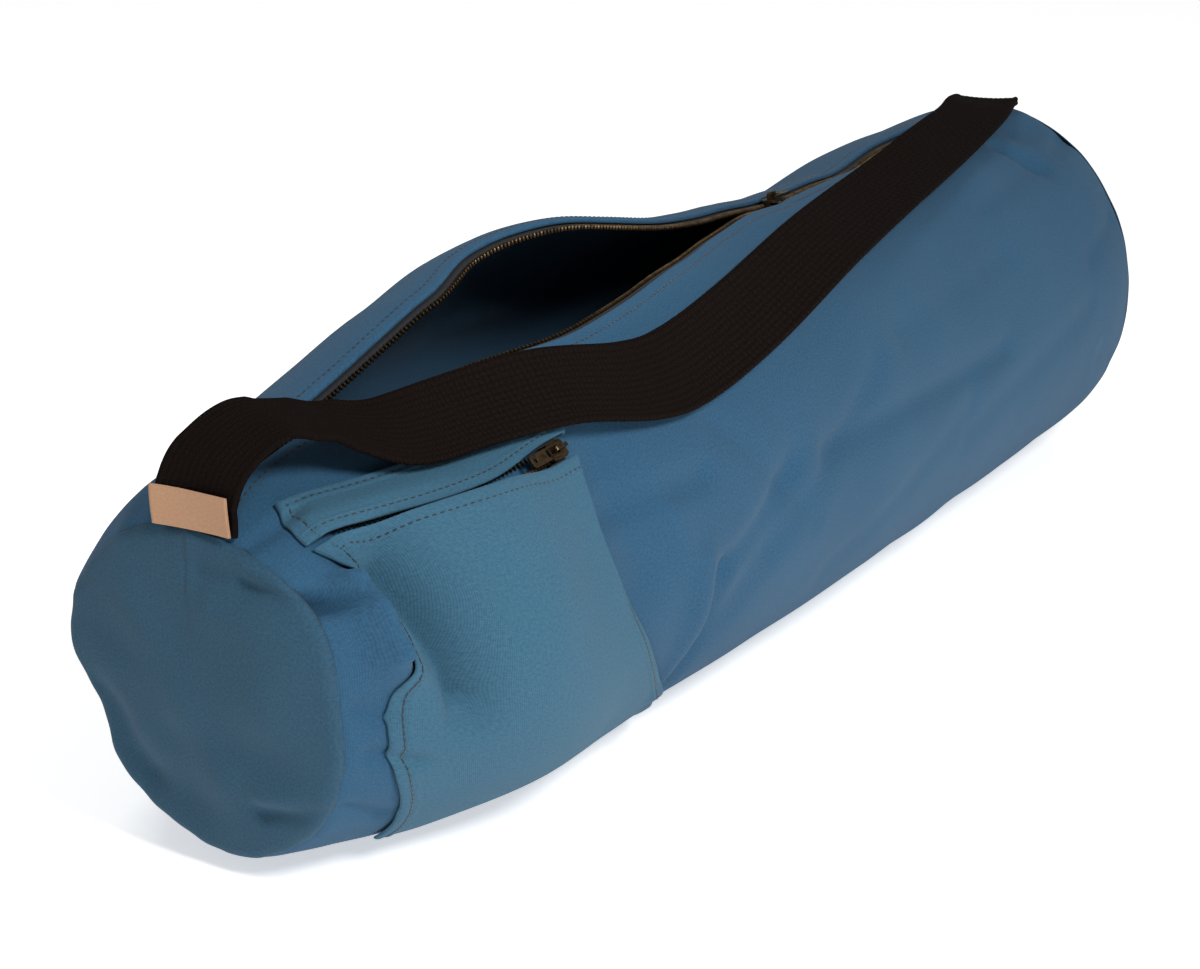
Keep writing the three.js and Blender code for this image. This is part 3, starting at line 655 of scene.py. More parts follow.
def woven(name, colour, dark, pale, warp, weft, depth, slub=0.5, gloss=0.2, sheen=0.04, dust=0.06):
    """Woven cloth: the threads' painted shade and random clouds of tone drive the colour, and the threads'
    height the bump.
    """
    material, n, shader = new_material(name, 0.9, Sheen_Weight=sheen, Sheen_Roughness=0.5)
    shader.inputs["Specular IOR Level"].default_value = gloss
    flat = n.add("ShaderNodeUVMap", uv_map="cloth").outputs["UV"]
    place = n.add("ShaderNodeTexCoord").outputs["Object"]
    values = {"Place": flat, "Warp": warp, "Weft": weft, "Slub": slub}
    threads = n.add("ShaderNodeGroup", node_tree=WEAVE)
    for word, value in values.items():
        n.put(threads.inputs[word], value)
    worn = n.add("ShaderNodeGroup", node_tree=WEAR)
    n.put(worn.inputs["Place"], place)
    broad = n.mix(worn.outputs["Cloud"], dark, colour)
    # Painted shade of the weave: the pale colour comes up on the thread crowns, and the darker colour stays
    # between them.
    lit = n.mix(n.math("MULTIPLY", threads.outputs["Shade"], 0.75), broad, pale)
    dusty = n.mix(n.math("MULTIPLY", worn.outputs["Dust"], dust), lit, pale)
    n.put(shader.inputs["Base Color"], dusty)
    n.put(shader.inputs["Normal"], bump_of(n, threads.outputs["Height"], 0.6, depth))
    return material


def linear(red, green, blue):
    """A colour of a screen, 0 to 255, as the linear colour that a shader takes."""
    c = np.array([red, green, blue]) / 255
    value = np.where(c <= 0.04045, c / 12.92, ((c + 0.055) / 1.055) ** 2.4)
    return (*value.tolist(), 1.0)


canvas = woven(
    "canvas",
    linear(33, 70, 96),
    linear(28, 61, 86),
    linear(57, 100, 131),
    0.0006,
    0.0006,
    0.00016,
)
# The round ends' canvas is the tube's cloth painted darker: painted shade on the ends, which turn away from the
# light.
shaded_end_canvas = woven(
    "shaded_end_canvas",
    linear(35, 65, 84),
    linear(30, 57, 75),
    linear(56, 92, 114),
    0.0006,
    0.0006,
    0.00016,
)
# The pocket's canvas is the tube's cloth painted lighter: painted light on the front, which faces the lamp.
lit_pocket_canvas = woven(
    "lit_pocket_canvas",
    linear(43, 81, 101),
    linear(38, 75, 95),
    linear(70, 112, 136),
    0.0006,
    0.0006,
    0.00016,
)
webbing = woven(
    "webbing",
    linear(10, 7, 6),
    linear(7, 5, 4),
    linear(30, 22, 19),
    0.0022,
    0.0026,
    0.0006,
    slub=0.8,
    gloss=0.04,
    sheen=0.0,
    dust=0.05,
)
tape_cloth = woven(
    "zip_tape",
    linear(28, 30, 34),
    linear(22, 24, 28),
    linear(50, 52, 56),
    0.0007,
    0.0009,
    0.0001,
)
label_cloth = woven(
    "label",
    linear(166, 126, 98),
    linear(154, 115, 88),
    linear(188, 150, 120),
    0.00045,
    0.00045,
    0.00008,
    sheen=0.05,
    dust=0.15,
)


# %% Metal, thread and floor
def shaded_antique_brass():
    """Brass painted darker than its own antique finish, as painted shade for the teeth in the zip's shaded
    gaps; random patches of tarnish shift it from brown to a brighter brass.
    """
    material, n, shader = new_material("zip_metal", 0.38, Metallic=0.9)
    place = n.add("ShaderNodeTexCoord").outputs["Object"]
    tarnish = n.ramp(n.noise(place, 380.0, 4.0, 0.6), 0.35, 0.65)
    # Painted shade: both colours are darker than the brass itself, to stand for the shadow on the teeth.
    n.put(shader.inputs["Base Color"], n.mix(tarnish, linear(44, 36, 27), linear(92, 74, 50)))
    n.put(shader.inputs["Roughness"], n.math("MULTIPLY_ADD", tarnish, -0.15, 0.48))
    n.put(shader.inputs["Normal"], bump_of(n, n.noise(place, 900.0, 3.0), 0.25, 0.0001))
    return material


def sewing_thread(name, low, high):
    material, n, shader = new_material(name, 0.75, Sheen_Weight=0.3)
    place = n.add("ShaderNodeTexCoord").outputs["Object"]
    twist = n.add("ShaderNodeTexWave", {"Vector": place, "Scale": 900.0, "Distortion": 1.0})
    n.put(shader.inputs["Base Color"], n.mix(twist.outputs["Fac"], low, high))
    n.put(shader.inputs["Normal"], bump_of(n, twist.outputs["Fac"], 0.4, 0.0001))
    return material


shaded_brass = shaded_antique_brass()
dark_thread = sewing_thread("dark_thread", linear(10, 16, 24), linear(22, 30, 40))

floor_material, floor_nodes, floor_shader = new_material("floor", 0.7, Emission_Strength=0.55)
floor_shader.inputs["Emission Color"].default_value = (1, 1, 1, 1)
floor_place = floor_nodes.add("ShaderNodeTexCoord").outputs["Object"]
floor_grain = floor_nodes.noise(floor_place, 3.0, 3.0)
floor_nodes.put(
    floor_shader.inputs["Base Color"],
    floor_nodes.mix(floor_grain, (0.93, 0.93, 0.93, 1), (0.95, 0.95, 0.95, 1)),
)
floor_mesh.materials.append(floor_material)

# %% [markdown]
# ## The canvas tube
# The body is one panel of canvas, wrapped round from the front lip of the zip, under the bag, to the back
# lip. Both lips are turned under and stitched down, so they are thicker with a groove at the stitch
# line. At its ends the cloth rolls into the seam with the round panels.

# %% Tube panel
TUBE_COLUMNS, TUBE_ROWS = 235, 185
LIP_RIM, SEAM_ROLL, SEAM_DROP = 1.0, 4.5, 3.4
HEM_WIDTH, HEM_RISE, STITCH_LINE, STITCH_PITCH = 10.5, 0.7, 5.2, 3.0


def tube_stations():
    """Stations along the tube, closer together in the slack cloth at the near end."""
    even = edge_rows(TUBE_COLUMNS, BAG_LENGTH, 3.0)
    return 2 * even**1.12 - 1


def hem(distance, along):
    """The height of a stitched hem at a distance from its lip, drawn in at every stitch."""
    swell = HEM_RISE * (1 - smoothstep((distance - HEM_WIDTH) / 1.2))
    draw = 0.35 + 0.15 * np.cos(2 * np.pi * along * HALF / STITCH_PITCH)
    return swell - draw * np.exp(-(((distance - STITCH_LINE) / 0.8) ** 2))


def seam_roll(along):
    """How far the cloth rolls inwards beside its end seams."""
    near = clamp(1 - (along + 1) * HALF / SEAM_ROLL)
    far = clamp(1 - (1 - along) * HALF / SEAM_ROLL)
    return -SEAM_DROP * (1 - np.sqrt(1 - np.maximum(near, far) ** 2))


def around_rows(along):
    """Angles from the front lip to the back lip, with rows in both hems."""
    hems = np.array([0, 0.1, 0.35, 1.0, 2.6, 4.2, 5.2, 6.2, 8.0, 10.0, 11.6])
    front, back = lip_angle(1, along), lip_angle(-1, along) + 360
    ahead = to_angle(hems[None, :], along[:, None])
    inner = np.linspace(0, 1, TUBE_ROWS - 2 * len(hems) + 2)[1:-1]
    low, high = front[:, None] + ahead[:, -1:], back[:, None] - ahead[:, -1:]
    middle = low + (high - low) * inner
    return np.concatenate([front[:, None] + ahead, middle, back[:, None] - ahead[:, ::-1]], 1)


def tube_skin(sign):
    """The face (1) or the back (-1) of the canvas, whose thickness closes at both lips."""
    along = tube_stations()
    angle = around_rows(along)
    along = along[:, None] + 0 * angle
    from_front = np.radians(angle - lip_angle(1, along)) * ring(along)[1]
    from_back = np.radians(lip_angle(-1, along) + 360 - angle) * ring(along)[1]
    lip = np.minimum(from_front, from_back)
    half = (CLOTH + hem(lip, along)) / 2 * rounded(lip, LIP_RIM)
    ends = rounded(np.minimum(along + 1, 1 - along) * HALF, 1.2)
    rise = lip_rise(along, lip_angle(-1, along) + 360 - angle)
    out = -CLOTH / 2 + seam_roll(along) + rise + (0.5 + 0.5 * ends) * sign * half
    flat = np.stack([along * HALF, np.radians(angle) * MEAN_RADIUS], -1)
    return tube_point(along, angle, out), flat


tube_face, tube_flat = tube_skin(1)
tube_back, _ = tube_skin(-1)
tube = finish_piece(sheet("canvas_tube", tube_face, tube_back, tube_flat), "tube_panel", canvas)

# %% [markdown]
# ## The round end panels
# Each end is a disc of the same canvas, painted darker as shade. It domes a little, and the near one is
# slack, so it sags into a few soft hollows and swells. Rings of points run from the middle to the seam,
# where the cloth rolls in and puckers.

# %% End panels
DISC_RINGS, DISC_TURNS = 72, 240
DISC_FOLDS = table(
    "from_front from_up to_front to_up height breadth",
    [
        (0.75, 0.66, 0.1, 0.76, -0.018, 0.035),
        (0.62, 0.3, 0.55, 0.1, 0.022, 0.11),
        (-0.75, -0.62, -0.2, -0.72, -0.02, 0.08),
    ],
)
DISC_FINE = table(
    "from_front from_up to_front to_up height breadth",
    [
        (0.9, 0.64, 0.4, 0.74, -0.012, 0.018),
        (0.7, 0.5, 0.2, 0.55, 0.008, 0.05),
        (0.36, -0.66, 0.8, -0.6, -0.014, 0.02),
        (0.4, -0.56, 0.8, -0.5, 0.008, 0.03),
        (-0.86, -0.2, -0.5, -0.62, -0.012, 0.04),
        (-0.5, 0.5, 0.1, -0.5, 0.006, 0.06),
        (-0.2, -0.3, 0.5, -0.3, -0.006, 0.06),
        (-0.8, 0.3, -0.3, 0.1, -0.005, 0.05),
    ],
)
FAR_FINE = table(
    "from_front from_up to_front to_up height breadth",
    [
        (0.2, 0.7, -0.5, 0.3, -0.02, 0.09),
        (0.6, -0.1, -0.3, -0.5, 0.012, 0.12),
        (-0.7, 0.1, -0.2, -0.7, -0.014, 0.08),
        (0.85, 0.4, 0.5, -0.3, -0.008, 0.05),
    ],
)


def disc_folds(rows, width, height, front, up):
    scale = np.array([width, height])
    start = np.stack([rows["from_front"], rows["from_up"]], -1) * scale
    end = np.stack([rows["to_front"], rows["to_up"]], -1) * scale
    return bells(rows, start, end, np.stack([front * width, up * height], -1))


def disc_skin(end, dome, sign):
    """Rings of a round end panel: share runs from its middle to its seam."""
    share = (np.linspace(0, 1, DISC_RINGS + 1) ** 0.8)[:, None]
    share = np.sort(np.concatenate([share, [[0.975], [0.99], [0.997]]]), 0)
    angle = np.linspace(0, 360, DISC_TURNS + 1)[None, :]
    width, height, shift, middle = (float(v) for v in ring(float(end)))
    centre = np.array([end * HALF, shift, middle])
    rim = ellipse_point(float(end), angle, puckers(float(end), angle) * 0.5 - 0.4)
    point = centre + (rim - centre) * share[..., None]
    front, up = share * np.sin(np.radians(angle)), share * np.cos(np.radians(angle))
    away = (1 - share) * height
    rows = DISC_HEIGHT * disc_folds(DISC_FINE if end < 0 else FAR_FINE, width, height, front, up)
    if end < 0:
        rows = rows + disc_folds(DISC_FOLDS, width, height, front, up)
    soft = rumples(np.stack([front * width + 500 * end, up * height], -1)) * 0.8
    gather = puckers(float(end), angle) * np.exp(-away / 9) * 0.8
    roll = -3.0 * (1 - np.sqrt(1 - clamp(1 - away / 4.5) ** 2))
    swell = dome * (1 - share**2) + (rows + soft) * (1 - share**4) + gather + roll
    half = CLOTH / 2 * rounded(away, 1.0)
    point[..., 0] += end * (SEAM_GAP + CLOTH / 2 + swell + sign * half)
    flat = np.stack([front * width, up * height], -1)
    return point, flat


def end_panel(name, node, end, dome):
    face, flat = disc_skin(end, dome, 1)
    back, _ = disc_skin(end, dome, -1)
    return finish_piece(sheet(name, face, back, flat), node, shaded_end_canvas)


end_panel("near_round_end", "near_end_disc", -1, NEAR_DOME)
end_panel("far_round_end", "far_end_disc", 1, FAR_DOME)

# %% [markdown]
# ## The zip
# A metal zip is two woven tapes, each with a row of cast teeth clamped on its edge. A tooth is a short
# bar with a waist and a rounded head, some 36 triangles, and the rows stand half a pitch apart so that
# they mesh where the zip is closed. Teeth are placed as arrays: one shape times all the frames of a row.

# %% Zip tapes
TAPE_COLUMNS, TAPE_ROWS = 330, 8
ZIP_ENDS = 0.996


def zip_tape(name, node, side):
    along = np.linspace(-ZIP_ENDS, ZIP_ENDS, TAPE_COLUMNS)[:, None]
    reach = -TAPE_HIDDEN + np.linspace(0, 1, TAPE_ROWS)[None, :] * (TAPE_HIDDEN + LIP_SETBACK - TAPE_EDGE)
    skins = [lip_point(side, along, reach, -ZIP_DEPTH + sign * TAPE / 2) for sign in (1, -1)]
    flat = np.stack(np.broadcast_arrays(along * HALF, reach), -1)
    return finish_piece(sheet(name, *skins, flat), node, tape_cloth)


zip_tape("front_zip_tape", "zip_tape_front", 1)
zip_tape("back_zip_tape", "zip_tape_back", -1)

# %% Teeth
TOOTH_PITCH = 2.1
TOOTH_SIDES = 6


def tooth_shape(outer, inner, thick):
    """Rings across the tape's edge: x along the zip, y towards the middle line, z out of the cloth."""
    turn = np.arange(TOOTH_SIDES) / TOOTH_SIDES * 2 * np.pi + np.pi / 6
    across = np.array([outer, outer - 0.25, (outer + inner) / 2, inner + 0.35, inner])
    wide = np.array([0.34, 0.52, 0.42, 0.56, 0.3])[:, None]
    tall = np.array([0.36, 0.5, 0.42, 0.48, 0.26])[:, None] * thick
    x = wide * np.cos(turn) / np.cos(np.pi / 6)
    z = tall * np.sin(turn)
    return np.stack([x, -across[:, None] + 0 * x, z], -1).reshape(-1, 3)


def tooth_faces():
    i, j = np.meshgrid(np.arange(4), np.arange(TOOTH_SIDES), indexing="ij")
    a, b = (i * TOOTH_SIDES + j).ravel(), (i * TOOTH_SIDES + (j + 1) % TOOTH_SIDES).ravel()
    quads = np.stack([a, b, b + TOOTH_SIDES, a + TOOTH_SIDES], -1)
    first, last = np.arange(TOOTH_SIDES), np.arange(TOOTH_SIDES) + 4 * TOOTH_SIDES
    return quads.tolist() + [first[::-1].tolist(), last.tolist()]


def unit(v):
    return v / np.linalg.norm(v, axis=-1, keepdims=True)


def frames(middle, ahead, inward):
    """Axes at each place: x along the row, y towards the middle line, z out of the cloth."""
    x = unit(ahead - middle)
    y = inward - middle
    y = unit(y - (y * x).sum(-1, keepdims=True) * x)
    return np.stack([x, y, np.cross(x, y)], -2)


def place_copies(name, shape, faces, places, axes):
    """One mesh with a copy of a small shape in every frame."""
    points = places[:, None, :] + np.einsum("ka,nab->nkb", shape, axes)
    count = len(shape)
    every = [[v + count * n for v in face] for n in range(len(places)) for face in faces]
    mesh = bpy.data.meshes.new(name)
    mesh.from_pydata(((points.reshape(-1, 3) + SHIFT) * MM).tolist(), [], every)
    work = bmesh.new()
    work.from_mesh(mesh)
    bmesh.ops.recalc_face_normals(work, faces=work.faces)
    work.to_mesh(mesh)
    work.free()
    mesh.shade_smooth()
    mesh.set_sharp_from_angle(angle=np.radians(40))
    piece = bpy.data.objects.new(name, mesh)
    bpy.context.collection.objects.link(piece)
    return piece


def even_places(curve, pitch, start=0.0):
    """Parameters at an even spacing along a curve of one parameter from 0 to 1."""
    t = np.linspace(0, 1, 4001)
    run = np.concatenate([[0], np.cumsum(np.linalg.norm(np.diff(curve(t), axis=0), axis=1))])
    return np.interp(np.arange(start, run[-1], pitch), run, t)


def teeth_row(name, node, point, start):
    """point(t, reach, out) is a place of the row, with reach counted towards the middle line."""
    t = even_places(lambda t: point(t, 0.0, 0.0), TOOTH_PITCH, start)
    middle = point(t, 0.0, 0.0)
    axes = frames(middle, point(t + 0.0005, 0.0, 0.0), point(t, 0.5, 0.0))
    shape = tooth_shape(TEETH_OUTER, TEETH_INNER, TEETH_THICK)
    return finish_piece(place_copies(name, shape, tooth_faces(), middle, axes), node, shaded_brass)


def lip_row(side):
    def point(t, reach, out):
        along = (2 * t - 1) * ZIP_ENDS
        return lip_point(side, along, LIP_SETBACK + reach, -ZIP_DEPTH + out)

    return point


teeth_row("front_zip_teeth", "zip_teeth_front", lip_row(1), 0.8)
teeth_row("back_zip_teeth", "zip_teeth_back", lip_row(-1), 0.8 + TOOTH_PITCH / 2)


# %% Sliders and pull tabs
def polished(node):
    """A copy of a metal solid with its doubled corners merged and its edges rounded."""
    mesh = frame["nodes"][node].data.copy()
    work = bmesh.new()
    work.from_mesh(mesh)
    bmesh.ops.remove_doubles(work, verts=work.verts, dist=1e-6)
    bmesh.ops.dissolve_limit(work, angle_limit=np.radians(2), verts=work.verts, edges=work.edges)
    work.to_mesh(mesh)
    work.free()
    piece = bpy.data.objects.new(node + "_polished", mesh)
    bpy.context.collection.objects.link(piece)
    bevel = piece.modifiers.new("bevel", "BEVEL")
    bevel.width, bevel.segments, bevel.angle_limit = 0.22 * MM, 2, np.radians(35)
    mesh.shade_smooth()
    mesh.set_sharp_from_angle(angle=np.radians(40))
    return finish_piece(piece, node, shaded_brass)


for metal_node in ("zip_slider", "zip_pull", "pocket_slider", "pocket_pull"):
    polished(metal_node)

# %% [markdown]
# ## The pocket
# The pocket is a patch on the front with its own zip across the top: a band above the zip, and a full
# panel below it that stands open a little. Its cloth lies on the tube and bridges the deep folds.

# %% Pocket formula
def over_tube(along, angle, out):
    """Cloth laid over the tube follows its ridges and bridges the deeper part of its valleys."""
    deep = folded(FOLDS, along, angle)
    low = relief(along, angle) - deep
    return ellipse_point(along, angle, out + np.maximum(deep, deep * BRIDGING) + low)


def pocket_along(across, angle):
    left = read(POCKET_SIDES, "angle", "left", angle)
    return left + (read(POCKET_SIDES, "angle", "right", angle) - left) * across


def pocket_line(across, column):
    return read(POCKET_LINES, "across", column, across)


def pocket_ease(across):
    return smoothstep(np.minimum(across, 1 - across) / POCKET_END)


def pocket_corner(across):
    angle = pocket_line(across, "zip")
    return unrolled(pocket_along(across, angle), angle)


POCKET_WIDTH = float(np.linalg.norm(pocket_corner(1.0) - pocket_corner(0.0)))


def pocket_setback(across):
    """How far both lips stay from the zip's middle: they lie close and part beside the slider."""
    slot = SLIDER_LENGTH / 2 / POCKET_WIDTH
    parted = smoothstep(1 + (across - POCKET_SLIDER + slot) / SLIDER_EASE)
    return POCKET_LIP_CLOSED + (POCKET_LIP - POCKET_LIP_CLOSED) * parted


def pocket_open(across):
    return POCKET_GAPE * np.sin(np.pi * clamp(1 - across / POCKET_SLIDER)) ** 2


THIRD = SECTIONS["along"][2]
POCKET_ROWS, POCKET_COLUMNS, WELT_ROWS = 150, 150, 34
POCKET_STITCH, EDGE_STITCH = 5.0, 3.2
HELD_EDGES = 1.7


def pocket_seam(edge, stitch, place):
    """A turned and stitched edge: thicker up to the stitch line and drawn in along it."""
    draw = 0.3 + 0.12 * np.cos(2 * np.pi * place / STITCH_PITCH)
    swell = 0.5 * (1 - smoothstep((edge - stitch - 1.6) / 1.0))
    return swell - draw * np.exp(-(((edge - stitch) / 0.7) ** 2))


def welt_point(across, down, out):
    top = pocket_line(across, "top")
    low = pocket_line(across, "zip") - to_angle(pocket_setback(across), THIRD)
    angle = top + (low - top) * down
    raised = POCKET_RISE * smoothstep(down / WELT_SLOPE) * pocket_ease(across)
    return over_tube(pocket_along(across, angle), angle, LAYER_GAP + raised + out)


def panel_point(across, down, out):
    lip = pocket_line(across, "zip") + to_angle(pocket_setback(across), THIRD)
    angle = lip + (pocket_line(across, "hem") - lip) * down
    raised = (POCKET_RISE + pocket_open(across)) * smoothstep(1 - down) * pocket_ease(across)
    full = POCKET_BULGE * np.sin(np.pi * across) ** HELD_EDGES * np.sin(np.pi * down**BULGE_HEIGHT)
    return over_tube(pocket_along(across, angle), angle, LAYER_GAP + raised + full + out)


def pocket_sheet(name, node, point, rows, length, top_stitch, low_stitch):
    """A panel of the pocket with rounded edges, and stitched seams round it."""
    across = edge_rows(POCKET_COLUMNS, POCKET_WIDTH, 0.8)[:, None]
    down = edge_rows(rows, length, 0.8)[None, :]
    x, y = across * POCKET_WIDTH, down * length
    sides = np.minimum(x, POCKET_WIDTH - x)
    body = pocket_seam(sides, EDGE_STITCH, y)
    body = np.maximum(body, 0) + np.minimum(body, 0)
    for distance, stitch in ((y, top_stitch), (length - y, low_stitch)):
        if stitch:
            body = body + pocket_seam(distance, stitch, x)
    half = POCKET_CLOTH / 2 * rounded(sides, 0.8) * rounded(np.minimum(y, length - y), 0.8)
    middle = POCKET_CLOTH / 2
    skins = [
        point(across, down, middle + half + body * rounded(sides, 0.8)),
        point(across, down, middle - half),
    ]
    flat = np.stack(np.broadcast_arrays(x, y), -1)
    return finish_piece(sheet(name, *skins, flat), node, lit_pocket_canvas)


WELT_HEIGHT = 26.0
PANEL_HEIGHT = 165.0
pocket_sheet("pocket_band", "pocket_welt", welt_point, WELT_ROWS, WELT_HEIGHT, 3.4, 4.6)
pocket_sheet("pocket_front", "pocket_panel", panel_point, POCKET_ROWS, PANEL_HEIGHT, POCKET_STITCH, 0)


# %% Pocket zip
def pocket_zip_point(side, across, arc, out):
    to_nose = (POCKET_SLIDER - across) * POCKET_WIDTH + SLIDER_LENGTH / 2
    spread = ROW_SPREAD * clamp(to_nose / SLIDER_LENGTH)
    angle = pocket_line(across, "zip") + side * to_angle(arc + spread, THIRD)
    lifted = pocket_open(across) if side > 0 else 0
    plane = LAYER_GAP + POCKET_RISE - POCKET_TAPE_GAP - TAPE / 2
    return over_tube(pocket_along(across, angle), angle, plane + lifted + out)


ZIP_FIRST = 0.076
ZIP_LAST = POCKET_SLIDER + SLIDER_LENGTH / 2 / POCKET_WIDTH


def pocket_tape(name, node, side):
    across = np.linspace(ZIP_FIRST, ZIP_LAST, 90)[:, None]
    arc = TAPE_EDGE + np.linspace(0, 1, 6)[None, :] * POCKET_TAPE
    skins = [pocket_zip_point(side, across, arc, sign * TAPE / 2) for sign in (1, -1)]
    flat = np.stack(np.broadcast_arrays(across * POCKET_WIDTH, arc), -1)
    return finish_piece(sheet(name, *skins, flat), node, tape_cloth)


def pocket_row(side):
    def point(t, reach, out):
        across = ZIP_FIRST + (ZIP_LAST - ZIP_FIRST) * t
        return pocket_zip_point(side, across, -reach, out)

    return point


pocket_tape("pocket_upper_tape", "pocket_tape_upper", -1)
pocket_tape("pocket_lower_tape", "pocket_tape_lower", 1)
teeth_row("pocket_upper_teeth", "pocket_teeth_upper", pocket_row(-1), 0.8)
teeth_row("pocket_lower_teeth", "pocket_teeth_lower", pocket_row(1), 0.8 + TOOTH_PITCH / 2)

# %% [markdown]
# ## The strap
# Cotton webbing is thick and limp: it runs from the near seam in a low arch, lies along the front of the
# opening, crosses over and ends in the far seam. Its ribs run along it and its edges are round.

# %% Strap
STRAP_COLUMNS, STRAP_ROWS, STRAP_RIBS = 420, 48, 13
TUCK_START = 0.9


def strap_line(u):
    """The strap's middle line at shares of its length, with how it leans and wraps."""
    step = u * STRAP_LAST
    get = {word: read(STRAP_ROUTE, "step", word, step) for word in STRAP_ROUTE}
    along = get["along"]
    held = np.maximum(along, -1)
    point = ellipse_point(held, get["angle"], get["lift"] * BAG_HEIGHT + folded(FOLDS, held, get["angle"]))
    point[..., 0] += np.minimum(along + 1, 0) * HALF
    return point, get["lean"], get["wrap"]


def strap_point(u, v, out):
    """v is -1 at the strap's back edge and 1 at its front edge; its far end turns along the seam."""
    point, lean, wrap = strap_line(u)
    step = 1 / 58 / 4
    tangent = unit(strap_line(np.minimum(u + step, 1))[0] - strap_line(np.maximum(u - step, 0))[0])
    turn = np.radians(lean)
    level = np.stack([0 * turn, -np.cos(turn), -np.sin(turn)], -1)
    width = unit(level - (level * tangent).sum(-1, keepdims=True) * tangent)
    normal = -unit(np.cross(width, tangent))
    seam = unit(level + np.stack([-FAR_LEAN[0] * np.cos(turn), 0 * turn, 0 * turn], -1))
    width = width + (seam - width) * smoothstep((u - TUCK_START) / (1 - TUCK_START))[..., None]
    curl = (wrap * (STRAP_WIDTH / 2) ** 2 / BAG_HEIGHT)[..., None]
    out = np.asarray(out)[..., None]
    across = v[..., None] if isinstance(v, np.ndarray) else v
    return point + width * across * STRAP_WIDTH / 2 + normal * (out - curl * across**2)


def strap_skins():
    u = edge_rows(STRAP_COLUMNS, 700.0, 1.0)[:, None]
    v = 2 * edge_rows(STRAP_ROWS, STRAP_WIDTH, 1.2)[None, :] - 1
    u, v = np.broadcast_arrays(u, v)
    edge = (1 - np.abs(v)) * STRAP_WIDTH / 2
    selvedge = 0.25 * np.exp(-(((edge - 1.6) / 1.1) ** 2)) - 0.2 * np.exp(-(((edge - 3.6) / 0.7) ** 2))
    ribs = 0.09 * np.cos(STRAP_RIBS * 2 * np.pi * v / 2)
    half = (STRAP_THICK / 2 - 0.1 + selvedge + ribs) * rounded(edge, 1.2)
    limp = 0.5 * np.sin(u * 37) * np.sin(2.4 * v + u * 21)
    skins = [strap_point(u, v + 0, sign * half + limp) for sign in (1, -1)]
    return skins, np.stack([u * 700.0, v * STRAP_WIDTH / 2], -1)


strap_faces, strap_flat = strap_skins()
finish_piece(sheet("webbing_strap", *strap_faces, strap_flat), "strap", webbing)

# %% [markdown]
# ## The tag
# A woven tag is folded in two and caught in the seam beside the strap. It is left bare. Its section is a
# narrow loop: up the outer side, over the fold and down the inner side.

# %% Tag
TAG_LAYER = 0.32


def tag_skins():
    """A folded strip: the path runs up, round the fold and down again, and stands on the near seam."""
    root = strap_line(np.array(0.0))[0]
    foot = ellipse_point(-1.0, STRAP_ROUTE["angle"][0], 0.0)
    bend = LABEL_THICK / 2 - TAG_LAYER / 2
    tall = LABEL_HEIGHT - bend - TAG_LAYER / 2
    path = np.concatenate([np.linspace(0, 1, 20), 1 + np.linspace(0, 1, 12)[1:], 2 + np.linspace(0, 1, 20)[1:]])
    turn = np.pi * clamp(path - 1)
    up = np.where(path < 1, path * tall, np.where(path > 2, (3 - path) * tall, tall))
    across = np.linspace(0, 1, 40)[:, None]

    def skin(out):
        radius = bend + out
        x = -radius * np.cos(turn)
        z = up + radius * np.sin(turn)
        lean = LABEL_LEAN * np.sin(np.pi / 2 * z / LABEL_HEIGHT) + LABEL_OVERHANG * (2 * across - 1) ** 2
        wave = 0.35 * np.sin(5 * across + 0.6) * (z / LABEL_HEIGHT) ** 2
        behind = STRAP_THICK / 2 + 2 * SEAM_GAP + LABEL_THICK / 2
        px = root[0] - behind - lean - wave + x[None, :]
        py = root[1] + (across - 0.5) * LABEL_WIDTH + 0 * px
        return np.stack([px, py, foot[2] + SEAM_GAP + z[None, :] + 0 * px], -1)

    flat = np.stack(np.broadcast_arrays(across * LABEL_WIDTH, path[None, :] * tall), -1)
    return skin(TAG_LAYER / 2), skin(-TAG_LAYER / 2), flat


tag_face, tag_back, tag_flat = tag_skins()
finish_piece(sheet("bare_tag", tag_face, tag_back, tag_flat), "end_label", label_cloth)

# %% [markdown]
# ## Stitches
# Lockstitch shows as a row of short threads that dip into the cloth at both ends. A stitch is a small
# bent capsule, placed like the teeth: evenly along a curve, in the frame of the cloth.

# %% Stitch rows
STITCH_SIDES = 5


def stitch_shape(length, width):
    """Rings along a short thread whose ends dip: x along the seam, z out of the cloth."""
    turn = np.arange(STITCH_SIDES) / STITCH_SIDES * 2 * np.pi
    along = np.array([-0.5, -0.4, -0.15, 0.15, 0.4, 0.5]) * length
    thick = np.array([0.35, 0.85, 1, 1, 0.85, 0.35])[:, None] * width / 2
    dip = np.array([-0.9, -0.25, 0.15, 0.15, -0.25, -0.9])[:, None] * width / 2
    x = along[:, None] + 0 * turn
    return np.stack([x, thick * np.cos(turn), dip + thick * np.sin(turn)], -1).reshape(-1, 3)


def stitch_faces():
    rings = 6
    i, j = np.meshgrid(np.arange(rings - 1), np.arange(STITCH_SIDES), indexing="ij")
    a, b = (i * STITCH_SIDES + j).ravel(), (i * STITCH_SIDES + (j + 1) % STITCH_SIDES).ravel()
    quads = np.stack([a, b, b + STITCH_SIDES, a + STITCH_SIDES], -1).tolist()
    last = np.arange(STITCH_SIDES) + (rings - 1) * STITCH_SIDES
    return quads + [list(range(STITCH_SIDES))[::-1], last.tolist()]


def stitch_row(name, point, thread, pitch=STITCH_PITCH, share=0.78, width=0.8):
    """point(t, sideways) is the cloth's face along the seam and beside it."""
    t = even_places(lambda t: point(t, 0.0), pitch, pitch / 2)
    middle = point(t, 0.0)
    axes = frames(middle, point(t + 0.0005, 0.0), point(t, 0.4))
    shape = stitch_shape(pitch * share, width)
    piece = place_copies(name, shape, stitch_faces(), middle, axes)
    return finish_piece(piece, None, thread)


